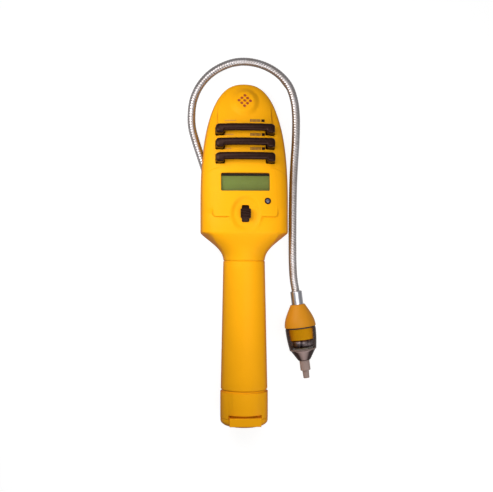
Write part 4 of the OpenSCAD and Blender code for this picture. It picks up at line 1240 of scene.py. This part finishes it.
    def build_display(self) -> None:
        """Display sheet under the window, with a dark strip along its top: partly the display's dark border,
        partly painted shadow under the recess's top wall.
        """
        window_t, below, thick, past = 1.5, 0.12, 0.1, 0.5
        low = -self.lcd_recess - window_t - below
        half_x, half_y = (size / 2 + past for size in self.lcd_size)
        edge = half_y - self.lcd_shade_strip
        # The top strip is partly the display's dark border and partly painted shadow
        for name, y0, y1, finish in (("display_sheet", -half_y, edge, DISPLAY),
                                     ("display_shade_strip", edge, half_y, DARK_INK_AND_SHADE)):
            plan = np.array([[-half_x, y0], [half_x, y0], [half_x, y1], [-half_x, y1]])
            sheet = self.slab(name, plan, low, low + thick)
            Piece(sheet, finish, Slot.DISPLAY).ride(Body.HOUSING)

    def build_eye(self) -> None:
        """Dark ring round the light sensor: a round section carried round a circle on the skin."""
        turn = full_turn(48)
        section = full_turn(12)
        wide, high = self.eye_ring_half
        radius = self.eye_r + self.eye_ring_out + wide * np.cos(section)[None, :]
        x = self.eye[0] + radius * np.cos(turn)[:, None]
        y = self.eye[1] + radius * np.sin(turn)[:, None]
        z = self.form.skin_z(x, y) + self.eye_ring_rise + high * np.sin(section)[None, :]
        ring = loft("eye_ring", np.stack([x, y, z], axis=-1), ring=True)
        Piece(ring, BLACK, Slot.BLACK).ride(Body.HOUSING)

    def build(self) -> None:
        """All of the head."""
        self.build_front()
        self.build_rear()
        self.build_marks()
        self.build_display()
        self.build_eye()
        self.build_cloth()


@dataclass
class BarKeys:
    """Three bar keys, each a crossbar on two end feet."""

    head: Head
    length: float = 53.4
    high_edge: float = 3.4
    low_edge: float = 3.4
    foot_low: float = 5.2
    foot_end: Pair = (6.1, 7.9)
    bar_t: float = 4.6
    gap: float = 2.6
    end_r: float = 3.4
    corner: Pair = (3.1, 2.1)
    bow: float = 0.5
    arch: float = 0.4
    sink: float = 0.3
    end_top: float = 1.5
    end_side: float = 1.8
    corner_steps: int = 9

    def surface(self, y: float, low_z: float) -> np.ndarray:
        """Sections of a key at y, whose feet reach down to low_z, carried along the face from end to end.

        Each section is a rectangle with wide elliptic corners, between a lower and an upper edge along the
        face and between a floor and a top out of it. Near an end the lower edge drops and the floor goes down
        through the shell, which makes the foot; over the last millimetres all but the floor rounds off.
        """
        form, half = self.head.form, self.length / 2
        tilt = form.tilt(y)
        deep = form.axis_z + float(form.front_h(y)) - low_z
        leg = deep / math.cos(tilt) - self.high_edge * math.tan(tilt)
        near = np.concatenate([self.end_r * (1 - np.cos(np.linspace(0, math.pi / 2, 12))),
                               spaced((self.end_r + 0.4, 5.8, 6), (6.0, 8.0, 18)), [9.5, 12, 15, 18, 22]])
        x = np.concatenate([-half + near, [0.0], half - near[::-1]])
        end = half - np.abs(x)
        foot = 1 - smooth(end, *self.foot_end)
        cut = 1 - np.sqrt(1 - (1 - share(end, 0, self.end_r)) ** 2)
        bowed = self.bow * (1 - (x / half) ** 2)
        top = self.gap + self.bar_t + bowed - self.sink - self.end_top * cut
        floor = (self.gap + bowed - self.sink) * (1 - foot) - leg * foot
        arched = self.arch * (1 - (x / half) ** 2)
        high = self.high_edge + arched - self.end_side * cut
        low = arched - self.low_edge - (self.foot_low - self.low_edge) * foot + self.end_side * cut
        turn = np.linspace(0, math.pi / 2, self.corner_steps)[None, :] + np.arange(4)[:, None] * math.pi / 2
        side = np.array([[1, 1], [-1, 1], [-1, -1], [1, -1]], float).repeat(self.corner_steps, axis=0)
        bend = np.stack([np.cos(turn.ravel()), np.sin(turn.ravel())], axis=1) - side
        wide, tall = (high - low)[:, None] / 2, (top - floor)[:, None] / 2
        round_w = np.minimum(self.corner[0], 0.95 * wide)
        along = (high + low)[:, None] / 2 + wide * side[:, 0] + round_w * bend[:, 0]
        out = (top + floor)[:, None] / 2 + tall * side[:, 1] + self.corner[1] * bend[:, 1]
        local = np.stack([np.broadcast_to(x[:, None], along.shape), along, out], axis=-1)
        return form.on_face(local.reshape(-1, 3), y).reshape(local.shape)

    def build(self) -> None:
        """The three keys on their bodies."""
        bodies = (Body.UPPER_KEY, Body.MIDDLE_KEY, Body.LOWER_KEY)
        for y, body in zip(self.head.key_ys, bodies):
            label = body.value.replace("_key", "")
            low_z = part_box(f"{label}_bar_key")[0][2] / MM
            key = loft(f"{label}_bar", self.surface(y, low_z), crease=50.0)
            Piece(key, BLACK, Slot.BLACK).ride(body, f"{label}_bar_key")


# Gooseneck


@dataclass
class Gooseneck:
    """Wound metal tube on its route, with the lead inside it."""

    radius: float = 3.75
    bore: float = 2.05
    lead_r: float = 1.2
    pitch: float = 2.4
    swing_at: float = 226.0
    lift_at: float = 266.0
    wrist_at: float = 374.0
    reach: float = 20.0
    samples: int = 12
    sides: int = 30
    crown: float = 0.05
    groove_depth: float = 0.26
    groove_w: float = 0.10
    lead_sides: int = 12
    lead_step: float = 3.0
    bore_rows: int = 9
    into_probe: float = 7.0
    steps_between: int = 24

    def __post_init__(self) -> None:
        """Lays the route out as a dense polyline with its length."""
        plan = np.array([
            [-0.744, -8, 11.5], [-0.868, 7.5, 11.5], [-0.993, 22.5, 12], [-1.104, 36, 13], [-1.191, 49, 15],
            [-1.203, 62, 17], [-1.154, 75, 18.5], [-1.017, 87, 19.5], [-0.794, 97.5, 20], [-0.509, 105, 20],
            [-0.174, 109.5, 20], [0.181, 109.5, 20], [0.526, 105.5, 20], [0.821, 98.1, 20], [1.045, 87.7, 20],
            [1.161, 74.7, 20], [1.203, 61, 20], [1.206, 47, 20], [1.191, 32, 20], [1.166, 17, 20],
            [1.146, 2, 20], [1.134, -14, 20], [1.127, -30, 20], [1.124, -46, 20], [1.124, -62, 20],
            [1.129, -78, 20], [1.152, -92, 20], [1.207, -105, 20]])
        plan[:, 0] *= HALF_WIDTH
        top = np.array(PROBE_TOP)
        down = np.array([math.sin(PROBE_LEAN), -math.cos(PROBE_LEAN), 0])
        stops = np.concatenate([plan, [top, top + self.into_probe * down]])
        padded = np.concatenate([stops[:1], stops, stops[-1:]])
        t = np.linspace(0, 1, self.steps_between, endpoint=False)[None, :, None]
        a, b, c, d = (padded[k:len(padded) - 3 + k, None] for k in range(4))
        square, cube = 2 * a - 5 * b + 4 * c - d, 3 * b - a - 3 * c + d
        curve = 0.5 * (2 * b + (c - a) * t + square * t**2 + cube * t**3)
        self.line = np.concatenate([curve.reshape(-1, 3), stops[-1:]])
        steps = np.linalg.norm(np.diff(self.line, axis=0), axis=1)
        self.along = np.concatenate([[0], np.cumsum(steps)])
        self.length = float(self.along[-1])

    def place(self, s: np.ndarray) -> np.ndarray:
        """Places on the route at distances along it."""
        return np.stack([np.interp(s, self.along, self.line[:, k]) for k in range(3)], axis=-1)

    def frames(self, s: np.ndarray) -> tuple[np.ndarray, np.ndarray]:
        """Two directions square to the route, the first of them level."""
        near = 0.8
        ahead = unit(self.place(s + near) - self.place(s - near))
        level = unit(np.cross(ahead, UP))
        return level, np.cross(level, ahead)

    def tube(self, name: str, start: float, end: float, outer: bool) -> bpy.types.Object:
        """Stretch of the wound tube, or of the lead inside it.

        The tube's radius falls by a narrow groove that winds round it once per pitch, with the band between
        grooves slightly crowned. The groove's phase is the distance along the route, less the angle, so the
        winding runs on from stretch to stretch. The bore is a plain tube.
        """
        turn = full_turn(self.sides if outer else self.lead_sides)
        step = self.pitch / self.samples if outer else self.lead_step
        s = np.linspace(start, end, max(3, int(round((end - start) / step)) + 1))
        if not outer:
            return loft(name, hoops(self.place(s), self.lead_r, turn, *self.frames(s)))
        phase = np.mod(s[:, None] / self.pitch - turn[None, :] / (2 * math.pi), 1.0)
        edge = np.minimum(phase, 1 - phase)
        groove = self.groove_depth * np.exp(-((edge / self.groove_w) ** 2))
        radius = self.radius - self.crown * (2 * phase - 1) ** 2 - groove
        rows = hoops(self.place(s), radius[..., None], turn, *self.frames(s))
        inner_s = np.linspace(end, start, self.bore_rows)
        bore = hoops(self.place(inner_s), self.bore, turn, *self.frames(inner_s))
        return loft(name, np.concatenate([rows, bore]), ring=True, crease=60.0)

    def build(self) -> None:
        """All stretches: rigid ones on their bodies, and one across each bend."""
        swing, lift, wrist, reach = self.swing_at, self.lift_at, self.wrist_at, self.reach
        bends = ((Body.HOUSING, Body.SHOULDER, swing, "shoulder"), (Body.SHOULDER, Body.DROP, lift, None),
                 (Body.DROP, Body.PROBE, wrist, None))
        rigid = ((Body.HOUSING, 0.0, swing - reach, "arch"), (Body.DROP, lift + reach, wrist - reach, "drop"),
                 (Body.PROBE, wrist + reach, self.length, "tail"))
        layers = ((True, "gooseneck", WOUND, Slot.WOUND), (False, "sensor_lead", LEAD_BLACK, Slot.LEAD))
        for outer, stem, finish, slot in layers:
            for body, start, end, label in rigid:
                piece = self.tube(f"{stem}_{label}_skin", start, end, outer)
                Piece(piece, finish, slot).ride(body, f"{stem}_{label}")
            for first, second, at, label in bends:
                start, end = at - reach, at + reach
                piece = self.tube(f"{stem}_{second.value}_bend", start, end, outer)
                nodes = (f"{stem}_{label}",) if label else ()
                Piece(piece, finish, slot).bend(first, second, self.place(start), self.place(end), *nodes)


# Probe


@dataclass
class Probe:
    """Turned pieces of the probe, on its own axis."""

    cap_len: float = 20.8
    cap_top_r: float = 6.8
    radius: float = 14.5
    collet_r: float = 5.45
    cover_s: float = 22.0
    cover_end_s: float = 41.0
    cover_end_r: float = 12.6
    cover_wall: float = 1.4
    cover_step: float = 0.3
    cover_edge: float = 0.3
    taper_s: float = 42.6
    sides: int = 96

    def turned(self, name: str, profile: np.ndarray) -> bpy.types.Object:
        """Profile of radius and distance down the probe, carried round its axis."""
        down = np.array([math.sin(PROBE_LEAN), -math.cos(PROBE_LEAN), 0.0])
        across = np.array([math.cos(PROBE_LEAN), math.sin(PROBE_LEAN), 0.0])
        middle = np.array(PROBE_TOP) + profile[:, 1:] * down
        rows = hoops(middle, profile[:, None, :1], full_turn(self.sides), across, UP)
        return loft(name, rows, ring=True, crease=40.0)

    def cap(self) -> np.ndarray:
        """Profile of the cap: a quarter sine swelling from the sleeve to the full radius."""
        s = np.linspace(0.7, self.cap_len - 0.35, 40)
        r = self.cap_top_r + (self.radius - self.cap_top_r) * np.sin(math.pi / 2 * s / self.cap_len) ** 1.1
        skin = np.stack([r, s], axis=1)
        inner, top, wide, end = self.collet_r, self.cap_top_r, self.radius, self.cap_len
        lip = np.array([[inner, 0.25], [inner + 0.2, 0.0], [top - 0.35, 0.0], [top + 0.02, 0.25]])
        foot = np.array([[wide - 0.12, end - 0.1], [wide - 0.4, end], [9.1, end], [9.1, 11.7], [inner, 11.7]])
        return np.concatenate([lip, skin, foot])

    def cover(self) -> np.ndarray:
        """Profile of the clear cover: a wall of even thickness that draws in towards its end."""
        s = np.linspace(self.cover_s, self.cover_end_s, 24)
        wide = self.radius - self.cover_step
        r = wide + (self.cover_end_r - wide) * share(s, self.cover_s, self.cover_end_s) ** 2
        outside = np.stack([r, s], axis=1)
        inside = np.stack([r - self.cover_wall, s], axis=1)[::-1]
        outside[0, 0] -= self.cover_edge
        return np.concatenate([outside, inside])

    def build(self) -> None:
        """Cap, cover, ring, taper and nozzle in place of their turned CAD nodes."""
        s, top = self.taper_s, self.cover_end_s
        ring = rounded_corners([[8.6, top], [12.6, top], [12.6, 42.0], [12.0, s], [8.6, s]], 0.3)
        taper = rounded_corners([[4.75, s], [11.3, s], [10.9, s + 1.0], [5.8, s + 9.2], [5.3, s + 9.6],
                                 [4.75, s + 9.6]], 0.3)
        nozzle = rounded_corners([[1.6, s], [4.7, s], [4.7, s + 18.9], [3.1, s + 19.5], [2.8, s + 26.4],
                                  [1.5, s + 26.4]], 0.35)
        for name, profile, finish, slot in (
                ("probe_cap", self.cap(), YELLOW_CAP, Slot.YELLOW),
                ("sensor_cover", self.cover(), COVER, Slot.COVER),
                ("cover_ring", ring, RING, Slot.RING), ("nozzle_holder", taper, TAPER, Slot.RING),
                ("nozzle", nozzle, NOZZLE, Slot.RING)):
            Piece(self.turned(f"{name}_skin", profile), finish, slot).ride(Body.PROBE, name)


# Handle, wiring and what stays as CAD


@dataclass
class Handle:
    """Collar, pull tab, spring and leads of the handle."""

    axis_z: float = AXIS_Z
    collar_r: float = 22.0
    collar_d: float = 193.4
    groove_len: float = 1.5
    groove_depth: float = 1.3
    slot_d: float = 215.0
    slot_depth: float = 2.8
    slot_side: float = 0.8
    rim_d: float = 218.8
    tab_w: float = 28.9
    tab_top_d: float = 216.85
    tab_end_d: float = 224.5
    tab_front_z: float = 44.9
    tab_back_r: float = 15.7
    tab_seat_z: float = 41.6
    tab_seat_drop: float = 4.0
    door_d: float = 219.15
    spring_turns: float = 4.0
    spring_wire_r: float = 0.5
    spring_narrow_r: float = 4.0
    lead_r: float = 0.7

    def bent_block(self, name: str, places: Pair, depth: float, half_turn: float) -> bpy.types.Object:
        """Cutter bent round the handle's axis.

        A rectangle between two places down the handle, from a depth under the collar's skin to well outside
        it, is carried through an angle to either side of the top. A half turn of pi closes it to a ring.

        Args:
            name: Name of the cutter.
            places: Where it starts and ends down the handle.
            depth: How deep it cuts.
            half_turn: Angle to either side, in radians.

        Returns:
            The cutter.
        """
        whole, steps, outside = half_turn >= math.pi, 96, 4.0
        turn = np.linspace(-half_turn, half_turn, steps + 1)[:steps if whole else steps + 1, None]
        radius = self.collar_r + np.array([-depth, outside, outside, -depth])
        down = np.broadcast_to(np.repeat(places, 2), (len(turn), 4))
        rows = np.stack([radius * np.sin(turn), -down, self.axis_z + radius * np.cos(turn)], axis=-1)
        return loft(name, rows, caps=not whole, ring=whole)

    def build_collar(self) -> None:
        """Copy of the collar with a groove at its seam and a finger slot bent round above the tab."""
        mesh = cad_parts["end_collar"].data.copy()
        finish_mesh(mesh)
        collar = linked("end_collar_skin", mesh)
        mesh.name = collar.name
        places = (self.collar_d - 0.5, self.collar_d + self.groove_len)
        collar = without(collar, self.bent_block("groove", places, self.groove_depth, math.pi))
        half_turn = math.asin((self.tab_w / 2 + self.slot_side) / self.collar_r)
        slot = self.bent_block("finger_slot", (self.slot_d, self.rim_d + 2.0), self.slot_depth, half_turn)
        collar = without(collar, slot)
        round_edges(collar, width=0.3)
        Piece(collar, YELLOW, Slot.YELLOW).ride(Body.HOUSING, "end_collar")

    def build_tab(self) -> None:
        """Pull tab over the door's own.

        An upright L is carried across. The underside of its overhang is a parabola that stays clear of the
        slot, and its foot follows a circle within the door's wall.
        """
        x = np.linspace(-self.tab_w / 2, self.tab_w / 2, 25)
        seat = self.tab_seat_z - self.tab_seat_drop * (2 * x / self.tab_w) ** 2
        back = self.axis_z + np.sqrt(self.tab_back_r**2 - x**2)
        front = np.full_like(x, self.tab_front_z)
        down = np.repeat([self.tab_top_d, self.tab_end_d, self.door_d], 2)
        up = np.stack([seat, front, front, back, back, seat], axis=1)
        across, along = np.broadcast_arrays(x[:, None], -down)
        tab = loft("pull_tab_skin", np.stack([across, along, up], axis=-1))
        round_edges(tab, width=0.5)
        Piece(tab, YELLOW, Slot.YELLOW).ride(Body.DOOR)

    @staticmethod
    def wire(name: str, line: np.ndarray, radius: float, sides: int = 14) -> bpy.types.Object:
        """Round wire along a polyline, closed at both ends."""
        ahead = unit(np.gradient(line, axis=0))
        hint = np.array([0.13, 0.21, 0.97])
        level = unit(np.cross(ahead, hint))
        return loft(name, hoops(line, radius, full_turn(sides), level, np.cross(level, ahead)))

    def build_spring(self) -> None:
        """Conical spring on the door: a helix whose radius falls evenly, within the CAD spring's box."""
        low, high = (np.array(corner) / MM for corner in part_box("door_spring"))
        wire_r, narrow = self.spring_wire_r, self.spring_narrow_r
        wide = (high[0] - low[0]) / 2 - wire_r
        t = np.linspace(0, 1, 320)
        angle = 2 * math.pi * self.spring_turns * t
        radius = wide + (narrow - wide) * t
        y = low[1] + wire_r + (high[1] - low[1] - 2 * wire_r) * t
        line = np.stack([radius * np.cos(angle), y, self.axis_z + radius * np.sin(angle)], axis=1)
        Piece(self.wire("door_spring_wire", line, wire_r), STEEL, Slot.STEEL).ride(Body.DOOR, "door_spring")

    def build_leads(self) -> None:
        """Two battery leads on smooth curves from the upper contact to the board."""
        low, high = (np.array(corner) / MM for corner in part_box("battery_leads"))
        stops = np.array([[2, low[1], 22.0], [2.2, low[1] + 6, 22.0], [4, low[1] + 20, 20.0],
                          [6, high[1] - 10, low[2] + 1.2], [6, high[1] - 3, low[2] + 1.6],
                          [6, high[1], low[2] + 2.6]])
        t = np.linspace(0, 1, 60)
        knots = np.linspace(0, 1, len(stops))
        line = np.stack([np.interp(t, knots, stops[:, k]) for k in range(3)], axis=1)
        reach = 3
        kernel = np.ones(2 * reach + 1) / (2 * reach + 1)
        padded = np.concatenate([line[:1].repeat(reach, 0), line, line[-1:].repeat(reach, 0)])
        line = np.stack([np.convolve(padded[:, k], kernel, "valid") for k in range(3)], axis=1)
        left = self.wire("battery_lead_left", line * [-1, 1, 1], self.lead_r, 12)
        right = self.wire("battery_lead_right", line, self.lead_r, 12)
        Piece(left, LEAD_BLACK, Slot.LEAD).ride(Body.HOUSING, "battery_leads")
        Piece(right, LEAD_RED, Slot.LEAD).ride(Body.HOUSING)

    def build(self) -> None:
        """Collar, tab, spring and leads."""
        self.build_collar()
        self.build_tab()
        self.build_spring()
        self.build_leads()


@dataclass
class CadParts:
    """CAD nodes that show as they are, with their finishes and small rounded edges."""

    finishes: dict[str, tuple[Finish, Slot]] = field(default_factory=lambda: {
        "lcd_window": (WINDOW, Slot.WINDOW), "lcd_module": (BLACK, Slot.DISPLAY),
        "main_board": (BOARD, Slot.BOARD), "board_screws": (STEEL, Slot.STEEL),
        "housing_screws": (STEEL, Slot.STEEL), "key_switches": (BLACK, Slot.BLACK),
        "thumb_slide": (BLACK, Slot.BLACK), "slide_switch": (STEEL, Slot.STEEL),
        "light_sensor": (LENS, Slot.LENS), "sounder": (BLACK, Slot.BLACK),
        "handle_tube": (YELLOW, Slot.YELLOW), "battery_door": (YELLOW, Slot.YELLOW),
        "door_pin": (STEEL, Slot.STEEL), "door_contact": (BRASS, Slot.BRASS),
        "cell_upper": (CELL, Slot.CELL), "cell_lower": (CELL, Slot.CELL),
        "upper_contact": (BRASS, Slot.BRASS), "root_ferrule": (STEEL, Slot.STEEL),
        "probe_ferrule": (SLEEVE, Slot.STEEL), "probe_body": (YELLOW, Slot.YELLOW),
        "probe_seal": (SEAL, Slot.SEAL), "sensor_can": (CAN, Slot.STEEL),
        "flame_arrestor": (BRASS, Slot.BRASS), "filter_disc": (FELT, Slot.FILTER)})
    rounded: dict[str, float] = field(default_factory=lambda: {
        "thumb_slide": 0.35, "battery_door": 0.45, "handle_tube": 0.3, "probe_ferrule": 0.2})

    def build(self) -> None:
        """Gives each node its finish, and rounds the edges that catch the light."""
        for name, (finish, slot) in self.finishes.items():
            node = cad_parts[name]
            node.data.materials.clear()
            node.data.materials.append(finish.material())
            node.data.polygons.foreach_set("use_smooth", np.ones(len(node.data.polygons), bool))
            weld = node.modifiers.new("weld", "WELD")
            weld.merge_threshold = 1e-6
            if name in self.rounded:
                round_edges(node, self.rounded[name])
            log.info("node %s: %s", name, finish.name)


# Studio


@dataclass
class Studio:
    """Floor, lamps, world and the photo's camera."""

    target: tuple[float, float, float] = (2.3, -61.1, 22.0)
    distance: float = 850.0
    orbit: float = -3.6
    lens: float = 67.0
    floor_half: float = 2500.0
    floor_z: float = -0.05
    floor_glow: float = 0.84
    floor_mirrored: float = 0.3
    sky_mirrored: tuple[float, ...] = (0.35, 0.95, 0.16, 0.60)
    sky_light: tuple[float, ...] = (0.0, 0.3, 0.12, 0.35)
    lamp_aim: tuple[float, float, float] = (0, -60, 30)
    lamps: tuple[tuple[str, tuple[float, float, float], float, float], ...] = (
        ("key", (-150, 40, 200), 150, 0.39), ("over_head", (-60, 50, 220), 120, 0.06),
        ("past_tip", (-20, 150, 230), 90, 0.075), ("over_handle", (45, -95, 200), 120, 0.135),
        ("low_right", (330, -380, 200), 250, 0.46))

    @staticmethod
    def seen(n: Nodes, reflected: object) -> bpy.types.NodeSocket:
        """1 on the way to the eye, straight or through a clear piece, and a given share in reflections."""
        path = n.add("ShaderNodeLightPath").outputs
        straight = n.math("MAXIMUM", path["Is Camera Ray"], path["Is Transmission Ray"])
        return n.math("MAXIMUM", straight, n.math("MULTIPLY", path["Is Glossy Ray"], reflected))

    def build_floor(self) -> None:
        """White floor under the object that takes its soft shadow."""
        corners = self.floor_half * np.array([[-1, -1], [1, -1], [1, 1], [-1, 1]])
        floor = new_object("floor", raised(corners, self.floor_z), [[0, 1, 2, 3]])
        material = bpy.data.materials.new("floor_white")
        material.use_nodes = True
        n = Nodes(material.node_tree)
        shader = material.node_tree.nodes["Principled BSDF"]
        n.put(shader, "Base Color", (0.3, 0.3, 0.3, 1.0))
        n.put(shader, "Roughness", 0.9)
        n.put(shader, "Emission Color", (1, 1, 1, 1))
        seen = self.seen(n, self.floor_mirrored)
        n.put(shader, "Emission Strength", n.math("MULTIPLY", seen, self.floor_glow))
        floor.data.materials.append(material)

    def lamp(self, name: str, place: Sequence[float], size: float, power: float) -> None:
        """Square area lamp at a place in millimetres, aimed at the object."""
        data = bpy.data.lights.new(name, "AREA")
        data.size = size * MM
        data.energy = power
        obj = linked(name, data)
        obj.visible_camera = False
        self.aim(obj, np.array(place) * MM, np.array(self.lamp_aim) * MM)

    @staticmethod
    def aim(obj: bpy.types.Object, place: np.ndarray, target: np.ndarray) -> None:
        """Puts an object at a place, with its back axis away from the target and its top towards +Y."""
        back = unit(place - target)
        right = unit(np.cross(AHEAD, back))
        turn = np.stack([right, np.cross(back, right), back], axis=1)
        matrix = np.eye(4)
        matrix[:3, :3], matrix[:3, 3] = turn, place
        obj.matrix_world = Matrix(matrix.tolist())

    def build_world(self) -> None:
        """Pale surroundings, brighter overhead than at the horizon."""
        world = bpy.data.worlds.new("surroundings")
        bpy.context.scene.world = world
        world.use_nodes = True
        n = Nodes(world.node_tree)
        height = n.split(n.add("ShaderNodeTexCoord").outputs["Generated"])["Z"]
        background = world.node_tree.nodes["Background"]
        n.put(background, "Color", (1.0, 1.0, 1.0, 1.0))
        overhead = n.ramp(height, *self.sky_mirrored)
        around = n.ramp(height, *self.sky_light)
        n.put(background, "Strength", n.math("MAXIMUM", self.seen(n, overhead), around))

    def build_camera(self) -> None:
        """Camera over the object, with the head at the top of the picture."""
        data = bpy.data.cameras.new("camera")
        data.lens = self.lens
        data.sensor_width = 36.0
        data.clip_end = 20.0
        camera = linked("camera", data)
        turn = math.radians(self.orbit)
        target = np.array(self.target)
        place = target + self.distance * np.array([math.sin(turn), 0.0, math.cos(turn)])
        self.aim(camera, place * MM, target * MM)
        bpy.context.scene.camera = camera

    def build(self) -> None:
        """All of the studio."""
        self.build_floor()
        self.build_world()
        for lamp in self.lamps:
            self.lamp(*lamp)
        self.build_camera()
        bpy.context.scene.view_settings.view_transform = "Standard"


def main() -> None:
    """Builds the object and its studio."""
    logging.basicConfig(level=logging.INFO, format="%(message)s")
    head = Head()
    head.build()
    BarKeys(head).build()
    Gooseneck().build()
    Probe().build()
    Handle().build()
    CadParts().build()
    Studio().build()


if __name__ == "__main__":
    main()
